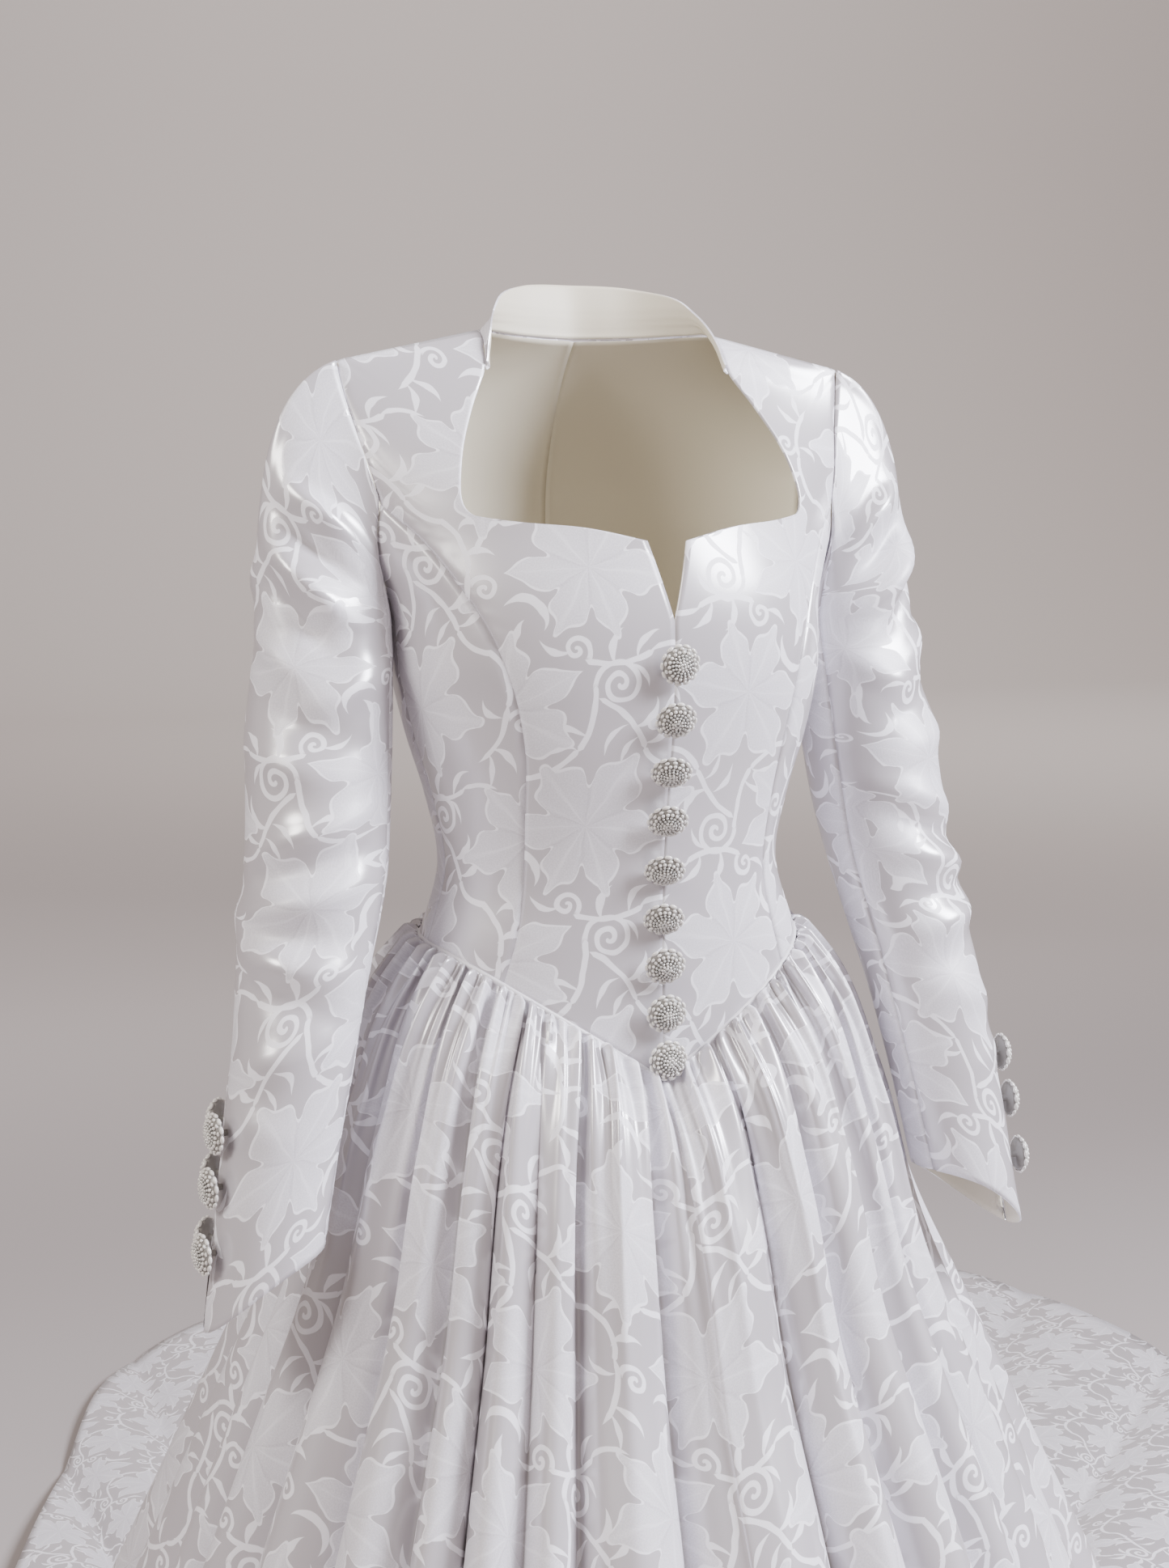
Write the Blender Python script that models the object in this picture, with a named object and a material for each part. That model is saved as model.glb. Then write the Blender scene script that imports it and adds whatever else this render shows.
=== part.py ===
"""A long-sleeved wedding dress with a fitted bodice, a gathered skirt and a train, as it hangs when worn.

Metres, +Z up. The front faces -Y and +X is the wearer's left. The origin lies midway between the tips of
the shoulders, where the wearer holds the dress up. Every cloth piece is an open wall of even thickness:
its outer face is a grid of points on a smooth form, and its inner face is that grid moved in along the
form's normals. Pieces stop a seam's width short of each other.
"""

import math

import bpy
import numpy as np

# Cloth and seams.
CLOTH = 0.0016
SEAM = 0.0003
PIPING_RADIUS = 0.0019
PIPING_SIDES = 5

# Levels of the dress, from the tips of the shoulders.
FLOOR = -1.385
UNDERARM = -0.147
BASQUE_POINT = -0.459
WAIST_RISE = 0.65
WAIST_SIDE = -0.3735
WAIST_BACK = -0.368

# The bodice's form: height, half width, y of the middle, depth to the front, depth to the back, squareness.
FORM = (
    (-0.480, 0.1620, -0.0180, 0.0870, 0.1200, 2.1),
    (-0.420, 0.1430, -0.0180, 0.0850, 0.1080, 2.1),
    (-0.373, 0.1300, -0.0170, 0.0850, 0.0960, 2.1),
    (-0.326, 0.1165, -0.0140, 0.0890, 0.0860, 2.1),
    (-0.280, 0.1240, -0.0120, 0.0960, 0.0870, 2.2),
    (-0.240, 0.1355, -0.0100, 0.1050, 0.0920, 2.3),
    (-0.200, 0.1445, -0.0080, 0.1110, 0.0970, 2.3),
    (-0.150, 0.1500, -0.0040, 0.1130, 0.1000, 2.1),
    (-0.115, 0.1680, 0.0000, 0.1070, 0.0980, 1.7),
    (-0.090, 0.1760, 0.0020, 0.0970, 0.0940, 1.6),
    (-0.064, 0.1850, 0.0040, 0.0720, 0.0800, 1.6),
    (-0.045, 0.1880, 0.0050, 0.0500, 0.0660, 1.6),
    (-0.025, 0.1890, 0.0050, 0.0280, 0.0470, 1.6),
    (-0.012, 0.1860, 0.0050, 0.0165, 0.0300, 1.6),
    (-0.004, 0.1820, 0.0050, 0.0080, 0.0150, 1.6),
    (0.000, 0.1800, 0.0050, 0.0000, 0.0000, 1.6),
)
SHOULDER_HALF = 0.180
SHOULDER_SLOPE = 0.221
RIDGE = 0.004

# Seam lines of the bodice, as distance from the middle and height.
NOTCH_DEPTH = -0.163
NECKLINE = ((0.0135, -0.113), (0.050, -0.105), (0.088, -0.1015), (0.110, -0.099), (0.119, -0.087),
            (0.1135, -0.057), (0.1005, -0.028), (0.0874, -0.005), (0.0850, 0.009), (0.0830, 0.0214))
PRINCESS = ((0.1000, -0.395), (0.0900, -0.360), (0.0855, -0.326), (0.0870, -0.285), (0.0905, -0.245),
            (0.0990, -0.205), (0.1110, -0.170), (0.1250, -0.141), (0.1420, -0.113), (0.1615, -0.0905))
ARMHOLE_FRONT = ((0.1615, -0.0905), (0.1645, -0.077), (0.1675, -0.063), (0.1705, -0.049),
                 (0.1735, -0.035), (0.1762, -0.022), (0.1783, -0.010), (0.1799, 0.0))
ARMHOLE_BACK = ((0.1799, 0.0), (0.1760, -0.018), (0.1715, -0.038), (0.1675, -0.060),
                (0.1640, -0.083), (0.1610, -0.105), (0.1570, -0.126))
NECK_BACK = ((0.0830, 0.0214), (0.0700, 0.0212), (0.0450, 0.0195), (0.0240, 0.0188), (0.0, 0.0185))
UNDERARM_STEPS = 3
CENTRE_FRONT_STEPS = 9
PRINCESS_STEPS = 12
ACROSS = 6

# The standing collar: its top edge as distance from the middle, y and height.
COLLAR_TOP = ((0.0858, -0.0160, 0.0005), (0.0802, -0.0072, 0.0205), (0.0722, 0.0060, 0.0360),
              (0.0615, 0.0185, 0.0465), (0.0410, 0.0385, 0.0525), (0.0225, 0.0480, 0.0545),
              (0.0, 0.0540, 0.0550))
COLLAR_FRONT_POINTS = 3
COLLAR_UP = 3

# The arms: height, distance from the middle, y, radius of the sleeve.
ARM = (
    (-0.610, 0.2610, -0.0670, 0.0348),
    (-0.560, 0.2530, -0.0620, 0.0352),
    (-0.500, 0.2425, -0.0550, 0.0366),
    (-0.430, 0.2290, -0.0462, 0.0396),
    (-0.320, 0.2070, -0.0245, 0.0452),
    (-0.220, 0.1960, -0.0040, 0.0465),
    (-0.170, 0.1905, 0.0040, 0.0430),
)
SLEEVE_TOP = -0.170
SLEEVE_FRONT_SEAM = (145.0, 155.0)
SLEEVE_BACK_SEAM = (-70.0, -12.0)
SLIT_TOP = -0.455
SLIT_SPREAD = 0.0100
CUFF_TIP = -0.600
CUFF_INNER = -0.550
UNDER_CUFF_SHORT = 0.008
CAP_STEPS = 6
SLEEVE_STEPS = 10
CAP_RISE = -0.35
CAP_BACK_STEPS = 3

# The skirt. HEM gives where the cloth from each angle of the waist meets the hem, in plan.
SKIRT_SPREAD = ((0.0, 0.0), (0.052, 0.027), (0.106, 0.046), (0.22, 0.074), (0.307, 0.104),
                (0.396, 0.135), (1.0, 0.345))
SKIRT_FULL = 0.345
TRAIN_STEEPNESS = 1.85
HEM = (
    (-180, 0.945, 2.228), (-168, 0.511, 2.227), (-160, 0.221, 2.111), (-154, 0.075, 1.967),
    (-145, -0.062, 1.645), (-136, -0.178, 1.347), (-126, -0.313, 1.002), (-111, -0.420, 0.470),
    (-98, -0.458, 0.180), (-80, -0.469, 0.005), (-60, -0.433, -0.204), (-40, -0.326, -0.358),
    (-20, -0.176, -0.456), (0, 0.0, -0.490), (20, 0.161, -0.462), (40, 0.302, -0.380),
    (60, 0.415, -0.255), (70, 0.470, -0.160), (80, 0.560, -0.030), (92, 0.720, 0.130),
    (106, 1.049, 0.424), (120, 1.325, 0.741), (132, 1.481, 1.109), (141, 1.545, 1.397),
    (148, 1.537, 1.586), (155, 1.505, 1.795), (166, 1.306, 2.053), (180, 0.945, 2.228),
)
FOLD_TROUGHS = (-180, -168, -156, -145, -133, -121, -110, -99, -87, -74, -60, -48, -40, -31, -23, -7,
                16, 28, 42, 55, 73, 88, 98, 108, 119, 129, 142, 154, 167, 180)
FOLD_SAMPLES = (0.0, 0.25, 0.5, 0.75)
FOLD_DEPTH = ((0.0, 0.003), (0.03, 0.011), (0.07, 0.017), (0.20, 0.024), (0.40, 0.036), (1.0, 0.052),
              (1.4, 0.026), (3.0, 0.014))
FOLD_TYPICAL = 13.0
FOLD_ROUNDNESS = 0.7
FOLD_INWARD = 0.4
HEM_CLEAR = 0.002
SKIRT_ROWS = (0.0, 0.02, 0.05, 0.10, 0.17, 0.26, 0.37, 0.49, 0.62, 0.75, 0.88, 1.0)
GORES = (
    ("skirt_back_right", -180, -99),
    ("skirt_side_right", -99, -40),
    ("skirt_front", -40, 42),
    ("skirt_side_left", 42, 108),
    ("skirt_back_left", 108, 180),
)

# Buttons.
BUTTON_PROFILE = ((0.0030, 0.0), (0.0030, 0.0062), (0.0118, 0.0067), (0.0135, 0.0083), (0.0124, 0.0105),
                  (0.0068, 0.0129))
BUTTON_CROWN = 0.0135
BUTTON_SIDES = 8
BUTTON_CLEAR = 0.0020
FRONT_BUTTONS = 9
FRONT_BUTTON_TOP = -0.1885
FRONT_BUTTON_BOTTOM = -0.444
CUFF_BUTTONS = (-0.476, -0.509, -0.549)
CUFF_BUTTON_ANGLES = (("front", 8.0), ("back", -42.0))


def curve_through(rows, at):
    """Reads a smooth curve through rows of (place, values...): cubic stretches with shared slopes."""
    rows = np.asarray(rows, float)
    place, values = rows[:, 0], rows[:, 1:]
    slopes = np.gradient(values, place, axis=0)
    at = np.clip(np.asarray(at, float), place[0], place[-1])
    low = np.clip(np.searchsorted(place, at, side="right") - 1, 0, len(place) - 2)
    step = (place[low + 1] - place[low])[..., None]
    t = (at - place[low])[..., None] / step
    return (
        values[low] * (1 + 2 * t) * (1 - t) ** 2
        + slopes[low] * step * t * (1 - t) ** 2
        + values[low + 1] * t**2 * (3 - 2 * t)
        + slopes[low + 1] * step * t**2 * (t - 1)
    )


def ease(value):
    """A soft step from 0 to 1."""
    value = np.clip(value, 0.0, 1.0)
    return value * value * (3 - 2 * value)


def unit(vectors):
    return vectors / np.linalg.norm(vectors, axis=-1, keepdims=True)


def shoulder_lift(x, height):
    """How far the sloping shoulders raise a point of the form towards the neck."""
    return SHOULDER_SLOPE * (SHOULDER_HALF - np.abs(x)) * ease(1 + height / -UNDERARM)


def form(angle, height):
    """The bodice's outside: a rounded section at each height, by angle from the front towards +X."""
    half, middle, front, back, power = np.moveaxis(curve_through(FORM, height), -1, 0)
    sine, cosine = np.sin(angle), np.cos(angle)
    reach = (np.abs(sine) ** power + np.abs(cosine) ** power) ** (-1 / power)
    x = half * sine * reach
    y = middle - np.where(cosine > 0, front, back) * cosine * reach
    return np.stack([x, y, height + shoulder_lift(x, height)], axis=-1)


def form_normal(angle, height):
    """The form's outward normal, turned to point up along the ridge of the shoulders."""
    step = 0.001
    below = np.minimum(height, -2 * step)
    around = form(angle + step, below) - form(angle - step, below)
    up = form(angle, below + step) - form(angle, below - step)
    normal = unit(np.cross(around, up))
    ridge = np.stack(
        [SHOULDER_SLOPE * np.sign(np.sin(angle)), 0 * angle, 1 + 0 * angle], axis=-1
    )
    share = ease(1 + height / RIDGE)[..., None]
    return unit(normal * (1 - share) + unit(ridge) * share)


def on_form(x, z, back=False):
    """The (angle, height) on the form of a point given by its distance from the middle and its height."""
    height = np.asarray(z, float)
    for _ in range(12):
        height = np.minimum(z - shoulder_lift(x, height), 0.0)
    half, _, _, _, power = np.moveaxis(curve_through(FORM, height), -1, 0)
    share = np.clip(x / half, 0.0, 1.0) ** power
    tangent = (share / np.maximum(1 - share, 1e-9)) ** (1 / power)
    angle = np.arctan(tangent)
    return np.stack([math.pi - angle if back else angle, height], axis=-1)


def waist(angle):
    """Height of the waist seam: a point at the front, nearly level round the back."""
    height = np.full_like(np.asarray(angle, float), WAIST_SIDE)
    for _ in range(12):
        x = np.abs(form(angle, height)[..., 0])
        height = BASQUE_POINT + WAIST_RISE * x
    behind = ease((np.abs(angle) - math.pi / 2) / (math.pi / 2))
    level = WAIST_SIDE + (WAIST_BACK - WAIST_SIDE) * behind
    return np.where(np.cos(angle) > 0, height, level)


def waist_clear():
    """How far cloth stops above and below the waist seam's middle, to leave room for the piping."""
    return (PIPING_RADIUS + 2 * SEAM) * math.hypot(1, WAIST_RISE)


def patch(left, right, bottom, top):
    """Fills four edges: rows run from left to right and are bent to meet the bottom and the top."""
    across = np.linspace(0, 1, len(bottom))[None, :, None]
    up = np.linspace(0, 1, len(left))[:, None, None]
    rows = left[:, None] * (1 - across) + right[:, None] * across
    low = bottom[None] - rows[:1]
    high = top[None] - rows[-1:]
    return rows + low * (1 - up) ** 3 + high * up**3


def draw_in(points, edges, half=SEAM / 2):
    """Moves the named edges of a grid in by half a seam. A grid's rows go up and its columns across."""
    points = points.copy()
    if "left" in edges:
        points[:, 0] += half * unit(points[:, 1] - points[:, 0])
    if "right" in edges:
        points[:, -1] += half * unit(points[:, -2] - points[:, -1])
    if "bottom" in edges:
        points[0] += half * unit(points[1] - points[0])
    if "top" in edges:
        points[-1] += half * unit(points[-2] - points[-1])
    return points


def material(name, colour, roughness, metallic=0.0):
    made = bpy.data.materials.new(name)
    made.use_nodes = True
    shader = made.node_tree.nodes["Principled BSDF"]
    shader.inputs["Base Color"].default_value = (*colour, 1)
    shader.inputs["Roughness"].default_value = roughness
    shader.inputs["Metallic"].default_value = metallic
    return made


def add_object(name, vertices, faces, finish):
    """Makes one object from points and faces, with its own copy of the finish."""
    mesh = bpy.data.meshes.new(name)
    mesh.from_pydata(np.asarray(vertices).tolist(), [], [tuple(face) for face in faces])
    mesh.validate()
    made = bpy.data.objects.new(name, mesh)
    own = finish.copy()
    own.name = name
    mesh.materials.append(own)
    mesh.shade_smooth()
    bpy.context.scene.collection.objects.link(made)
    return made


def wall(name, outer, normals, finish, floor=None, turned=False):
    """A closed wall of cloth from the grid of its outer face and the normals along which it thickens."""
    inner = outer - normals * CLOTH
    if floor is not None:
        inner[..., 2] = np.maximum(inner[..., 2], floor)
    rows, columns = outer.shape[:2]
    index = np.arange(rows * columns).reshape(rows, columns)
    a, b = index[:-1, :-1].ravel(), index[:-1, 1:].ravel()
    c, d = index[1:, 1:].ravel(), index[1:, :-1].ravel()
    out = np.concatenate([np.stack([a, b, c], 1), np.stack([a, c, d], 1)])
    rim = np.concatenate([index[0], index[1:, -1], index[-1, -2::-1], index[-2:0:-1, 0]])
    ahead = np.roll(rim, -1)
    inside = rows * columns
    side = np.concatenate([
        np.stack([rim, rim + inside, ahead + inside], 1),
        np.stack([rim, ahead + inside, ahead], 1),
    ])
    faces = np.concatenate([out, out[:, ::-1] + inside, side])
    if turned:
        faces = faces[:, ::-1]
    vertices = np.concatenate([outer.reshape(-1, 3), inner.reshape(-1, 3)])
    return add_object(name, vertices, faces.tolist(), finish)


def both_sides(name, outer, normals, finish):
    """A left piece as given, and a right one mirrored across the middle."""
    wall(name + "_left", outer, normals, finish)
    mirror = np.array([-1.0, 1.0, 1.0])
    wall(name + "_right", outer * mirror, normals * mirror, finish, turned=True)


def bodice_panel(name, grid, edges, finish, shoulder=0.0):
    """A pair of bodice panels from a grid of (angle, height) places on the form."""
    outer = draw_in(form(grid[..., 0], grid[..., 1]), edges)
    outer[-1, :, 1] += shoulder
    both_sides(name, outer, form_normal(grid[..., 0], grid[..., 1]), finish)


def waist_edge(first, last, count):
    angle = np.linspace(first, last, count + 1)
    return np.stack([angle, waist(angle) + waist_clear()], axis=-1)


def front_places(points):
    return np.array([on_form(x, z) for x, z in points])


def build_bodice(finish):
    """Centre fronts, side fronts and backs, from the waist seam up to the neck and the shoulders."""
    knots = np.linspace(0, PRINCESS_STEPS, len(PRINCESS))
    princess = front_places(curve_through(np.column_stack([knots, PRINCESS]), np.arange(PRINCESS_STEPS + 1)))
    princess[0, 1] = waist(princess[0, 0]) + waist_clear()
    armhole = front_places(ARMHOLE_FRONT)
    side = math.pi / 2
    underarm = np.array([side, UNDERARM])

    low, notch = BASQUE_POINT + waist_clear(), on_form(0.0, NOTCH_DEPTH)[1]
    centre = np.stack(
        [np.zeros(CENTRE_FRONT_STEPS + 1), np.linspace(low, notch, CENTRE_FRONT_STEPS + 1)], axis=-1
    )
    left = np.concatenate([centre, front_places(NECKLINE)])
    right = np.concatenate([princess, armhole[1:]])
    bottom = waist_edge(0.0, right[0, 0], ACROSS)
    top = np.linspace(left[-1], right[-1], ACROSS + 1)
    centre_front = patch(left, right, bottom, top)
    bodice_panel("front_centre", centre_front, ("left", "right"), finish, shoulder=-SEAM)

    side_seam = np.linspace([side, WAIST_SIDE + waist_clear()], underarm, len(princess))
    top = np.linspace(princess[-1], underarm, UNDERARM_STEPS + 1)
    bottom = waist_edge(princess[0, 0], side, UNDERARM_STEPS)
    side_front = patch(princess, side_seam, bottom, top)
    bodice_panel("front_side", side_front, ("left", "right"), finish)

    behind = np.array([on_form(x, z, back=True) for x, z in ARMHOLE_BACK])[::-1]
    left = np.concatenate([side_seam, behind])
    back_neck = np.array([on_form(x, z, back=True) for x, z in NECK_BACK])
    centre_back = np.stack(
        [np.full(len(left), math.pi), np.linspace(WAIST_BACK + waist_clear(), back_neck[-1, 1], len(left))],
        axis=-1,
    )
    neck_steps = len(back_neck) - 1
    top = np.concatenate([np.linspace(left[-1], back_neck[0], 4)[:-1], back_neck])
    bottom = waist_edge(side, math.pi, neck_steps + 3)
    back = patch(left, centre_back, bottom, top)
    outer = draw_in(form(back[..., 0], back[..., 1]), ("left", "right"))
    outer[-1, :4, 1] += SEAM
    both_sides("back", outer, form_normal(back[..., 0], back[..., 1]), finish)


def build_collar(finish):
    """A band that rises from the neck edge behind, and runs out to nothing on the front neckline."""
    front = [form(*on_form(x, z)) for x, z in NECKLINE[-COLLAR_FRONT_POINTS:]]
    behind = [form(*on_form(x, z, back=True)) for x, z in NECK_BACK[1:]]
    mirror = np.array([-1.0, 1.0, 1.0])
    low, high = np.array(front + behind), np.array(COLLAR_TOP)
    low = np.concatenate([low, low[-2::-1] * mirror])
    high = np.concatenate([high, high[-2::-1] * mirror])
    low = low + 2 * SEAM * unit(high - low)
    rise = np.linspace(0, 1, COLLAR_UP + 1)[:, None, None]
    outer = low[None] * (1 - rise) + high[None] * rise
    normals = unit(np.cross(np.gradient(outer, axis=1), np.gradient(outer, axis=0)))
    wall("collar", outer, normals, finish)


def armhole_ring():
    """The armhole's edge on the left side: its points, and the form's normals there."""
    back = [on_form(x, z, back=True) for x, z in ARMHOLE_BACK]
    front = [on_form(x, z) for x, z in ARMHOLE_FRONT[::-1]]
    low_front = np.linspace(front[-1], [math.pi / 2, UNDERARM], UNDERARM_STEPS + 1)
    places = np.concatenate([
        back[CAP_BACK_STEPS:0:-1],
        front,
        low_front[1:],
        back[:CAP_BACK_STEPS - 1:-1],
    ])
    return form(places[:, 0], places[:, 1])


def sleeve_angles(height, columns, seam):
    """Angle round the arm of each column: 0 is outwards and 90 is to the front, in radians."""
    down = ease((SLEEVE_TOP - height) / (SLEEVE_TOP - SLIT_TOP))
    back = SLEEVE_BACK_SEAM[0] + (SLEEVE_BACK_SEAM[1] - SLEEVE_BACK_SEAM[0]) * down
    front = SLEEVE_FRONT_SEAM[0] + (SLEEVE_FRONT_SEAM[1] - SLEEVE_FRONT_SEAM[0]) * down
    upper = np.arange(columns) / seam
    under = (np.arange(columns) - seam) / (columns - 1 - seam)
    turned = np.where(
        np.arange(columns) <= seam, back + (front - back) * upper, front + (360 + back - front) * under
    )
    return np.radians(turned)


def sleeve_point(angle, height):
    """A point of the sleeve below the cap, and its outward normal."""
    middle_x, middle_y, radius = np.moveaxis(curve_through(ARM, height), -1, 0)
    outward = np.stack([np.cos(angle), -np.sin(angle), 0 * angle], axis=-1)
    middle = np.stack([middle_x, middle_y, height], axis=-1)
    return middle + outward * radius[..., None], outward


def cuff_hem(angle):
    """Height of the cuff's edge: lowest at the slit, highest on the inside of the wrist."""
    away = (1 + np.cos(angle - math.radians(SLEEVE_BACK_SEAM[1]))) / 2
    return CUFF_INNER + (CUFF_TIP - CUFF_INNER) * away**1.5


def build_sleeves(finish):
    """Two-piece sleeves. The cap springs from the armhole and turns down into the arm."""
    ring = armhole_ring()
    columns, seam = len(ring), CAP_BACK_STEPS + len(ARMHOLE_FRONT) - 1
    top_angle = sleeve_angles(np.array(SLEEVE_TOP), columns, seam)
    arm_top, _ = sleeve_point(top_angle, np.full(columns, SLEEVE_TOP))

    outer_share = ((1 + np.cos(top_angle)) / 2)[:, None]
    leave = unit(outer_share * np.array([1, 0, CAP_RISE]) + (1 - outer_share) * np.array([0.12, 0, -1]))
    start = ring + 2 * SEAM * leave
    reach = np.linalg.norm(arm_top - start, axis=1, keepdims=True)
    t = np.linspace(0, 1, CAP_STEPS + 1)[:, None, None]
    cap = (
        start * (1 + 2 * t) * (1 - t) ** 2
        + leave * reach * t * (1 - t) ** 2
        + arm_top * t**2 * (3 - 2 * t)
        + np.array([0, 0, -1.0]) * reach * t**2 * (t - 1)
    )

    share = (np.arange(1, SLEEVE_STEPS + 1) / SLEEVE_STEPS)[:, None]
    height = np.full((SLEEVE_STEPS, columns), SLEEVE_TOP)
    for _ in range(4):
        angle = np.stack([sleeve_angles(row.mean(), columns, seam) for row in height])
        height = SLEEVE_TOP + (cuff_hem(angle) - SLEEVE_TOP) * share
    arm, _ = sleeve_point(angle, height)

    outer = np.concatenate([cap, arm])
    normals = unit(np.cross(np.gradient(outer, axis=1), np.gradient(outer, axis=0)))
    closed = unit(normals[:, 0] + normals[:, -1])
    normals[:, 0] = normals[:, -1] = closed
    opened = ease((SLIT_TOP - outer[..., 2]) / (SLIT_TOP - CUFF_TIP))
    upper, under = slice(0, seam + 1), slice(seam, columns)
    upper_face = draw_in(outer[:, upper], ("left", "right"), half=SEAM)
    under_face = draw_in(outer[:, under], ("left", "right"), half=SEAM)
    back_step = unit(under_face[:, -2] - under_face[:, -1])
    under_face[:, -1] += SLIT_SPREAD * opened[:, -1:] * back_step
    short = UNDER_CUFF_SHORT * opened[-1, -1]
    under_face[-1, -1, 2] += short
    both_sides("sleeve_upper", upper_face, normals[:, upper], finish)
    both_sides("sleeve_under", under_face, normals[:, under], finish)


def floor_blend(value, width):
    """Value where it is well above nought, nought where it is well below, and a soft bend between."""
    return (value + np.sqrt(value**2 + width**2)) / 2


def skirt_base(turn, down):
    """The skirt without its folds, by angle round the waist in degrees and share of the way to the hem."""
    angle = np.radians(turn)
    seam_height = waist(angle) - waist_clear()
    top = form(angle, seam_height)
    hem = curve_through(HEM, turn)
    run = hem - top[..., :2]
    distance = np.linalg.norm(run, axis=-1)
    outward = run / distance[..., None]
    fullness = distance / SKIRT_FULL
    steep = 1 / (fullness**-6 + TRAIN_STEEPNESS**-6) ** (1 / 6)
    drop = seam_height - (FLOOR + HEM_CLEAR)
    fall = np.hypot(drop, steep * SKIRT_FULL)
    length = fall + distance - steep * SKIRT_FULL
    travel = down * length / fall
    soft = 0.07 * ease((fullness - 1.2) / 0.6) + 1e-6
    spread = curve_through(SKIRT_SPREAD, travel)[..., 0]
    beyond = floor_blend(travel - 1, soft)
    plan = steep * spread + beyond * fall
    height = FLOOR + HEM_CLEAR + drop * floor_blend(1 - travel, soft)
    ground = top[..., :2] + outward * plan[..., None]
    return np.concatenate([ground, height[..., None]], axis=-1), travel


def base_normal(turn, down):
    """Outward normal of the skirt without its folds."""
    low = np.maximum(down - 0.004, 0.0)
    high = np.minimum(down + 0.004, 1.0)
    around = skirt_base(turn + 0.5, down)[0] - skirt_base(turn - 0.5, down)[0]
    slope = skirt_base(turn, low)[0] - skirt_base(turn, high)[0]
    return unit(np.cross(around, slope))


def fold_place(turn):
    """Which fold an angle is in, as its width and the share of the way across it."""
    troughs = np.array(FOLD_TROUGHS, float)
    index = np.clip(np.searchsorted(troughs, turn, side="right") - 1, 0, len(troughs) - 2)
    width = troughs[index + 1] - troughs[index]
    return width, (turn - troughs[index]) / width


def skirt(turn, down):
    """The skirt with its pleat-like folds: rounded crests that stand out between narrow troughs."""
    base, travel = skirt_base(turn, down)
    normal = base_normal(turn, down)
    width, share = fold_place(turn)
    crest = np.sin(math.pi * np.clip(share, 0, 1)) ** FOLD_ROUNDNESS
    depth = curve_through(FOLD_DEPTH, travel)[..., 0] * np.sqrt(width / FOLD_TYPICAL)
    inward = FOLD_INWARD * ease(1 - 4 * (travel - 0.9)) * ease(travel / 0.1)
    points = base + normal * (depth * (crest - inward))[..., None]
    points[..., 2] = np.maximum(points[..., 2], FLOOR + CLOTH)
    return points


def build_skirt(finish):
    """Five gathered pieces. Their seams lie in troughs between folds."""
    samples = [
        low + (high - low) * share
        for low, high in zip(FOLD_TROUGHS[:-1], FOLD_TROUGHS[1:])
        for share in FOLD_SAMPLES
    ]
    turns = np.array([*samples, FOLD_TROUGHS[-1]], float)
    turn, down = np.meshgrid(turns, np.array(SKIRT_ROWS)[::-1])
    outer = skirt(turn, down)
    outer[:, -1] = outer[:, 0]
    normals = unit(np.cross(np.gradient(outer, axis=1), np.gradient(outer, axis=0)))
    normals[:, 0] = normals[:, -1] = unit(normals[:, 0] + normals[:, -1])
    for name, first, last in GORES:
        piece = slice(*np.searchsorted(turns, [first, last + 0.001]))
        face = draw_in(outer[:, piece], ("left", "right"), half=2 * SEAM)
        wall(name, face, normals[:, piece], finish, floor=FLOOR)


def build_piping(finish):
    """A thin cord in the waist seam, all the way round."""
    angle = np.radians(np.arange(-180, 180, 7.5))
    height = waist(angle)
    middle = form(angle, height) - form_normal(angle, height) * CLOTH / 2
    ahead = unit(np.roll(middle, -1, axis=0) - np.roll(middle, 1, axis=0))
    out = form_normal(angle, height)
    out = unit(out - ahead * (out * ahead).sum(axis=1, keepdims=True))
    up = np.cross(out, ahead)
    turn = np.arange(PIPING_SIDES) * 2 * math.pi / PIPING_SIDES
    ring = np.cos(turn)[None, :, None] * out[:, None] + np.sin(turn)[None, :, None] * up[:, None]
    points = middle[:, None] + PIPING_RADIUS * ring
    count = len(angle)
    index = np.arange(count * PIPING_SIDES).reshape(count, PIPING_SIDES)
    ahead_ring, next_side = np.roll(index, -1, axis=0), np.roll(index, -1, axis=1)
    corner = np.roll(ahead_ring, -1, axis=1)
    faces = np.stack([index, next_side, corner, ahead_ring], axis=-1).reshape(-1, 4)
    return add_object("waist_piping", points.reshape(-1, 3), faces[:, ::-1].tolist(), finish)


def button(name, place, normal, finish):
    """A domed button on its shank, turned about the normal of the cloth that it stands on."""
    normal = normal / np.linalg.norm(normal)
    side = np.cross([0.0, 0.0, 1.0], normal)
    side /= np.linalg.norm(side)
    up = np.cross(normal, side)
    turn = np.arange(BUTTON_SIDES) * 2 * math.pi / BUTTON_SIDES
    ring = np.cos(turn)[:, None] * side + np.sin(turn)[:, None] * up
    foot = place + normal * BUTTON_CLEAR
    rings = [foot + normal * rise + ring * radius for radius, rise in BUTTON_PROFILE]
    vertices = np.concatenate([*rings, [foot], [foot + normal * BUTTON_CROWN]])
    count = len(BUTTON_PROFILE)
    base, crown = count * BUTTON_SIDES, count * BUTTON_SIDES + 1
    faces = []
    for k in range(BUTTON_SIDES):
        ahead = (k + 1) % BUTTON_SIDES
        faces.append((base, ahead, k))
        for level in range(count - 1):
            low, high = level * BUTTON_SIDES, (level + 1) * BUTTON_SIDES
            faces.append((low + k, low + ahead, high + ahead, high + k))
        last = (count - 1) * BUTTON_SIDES
        faces.append((last + k, last + ahead, crown))
    return add_object(name, vertices, faces, finish)


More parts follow.
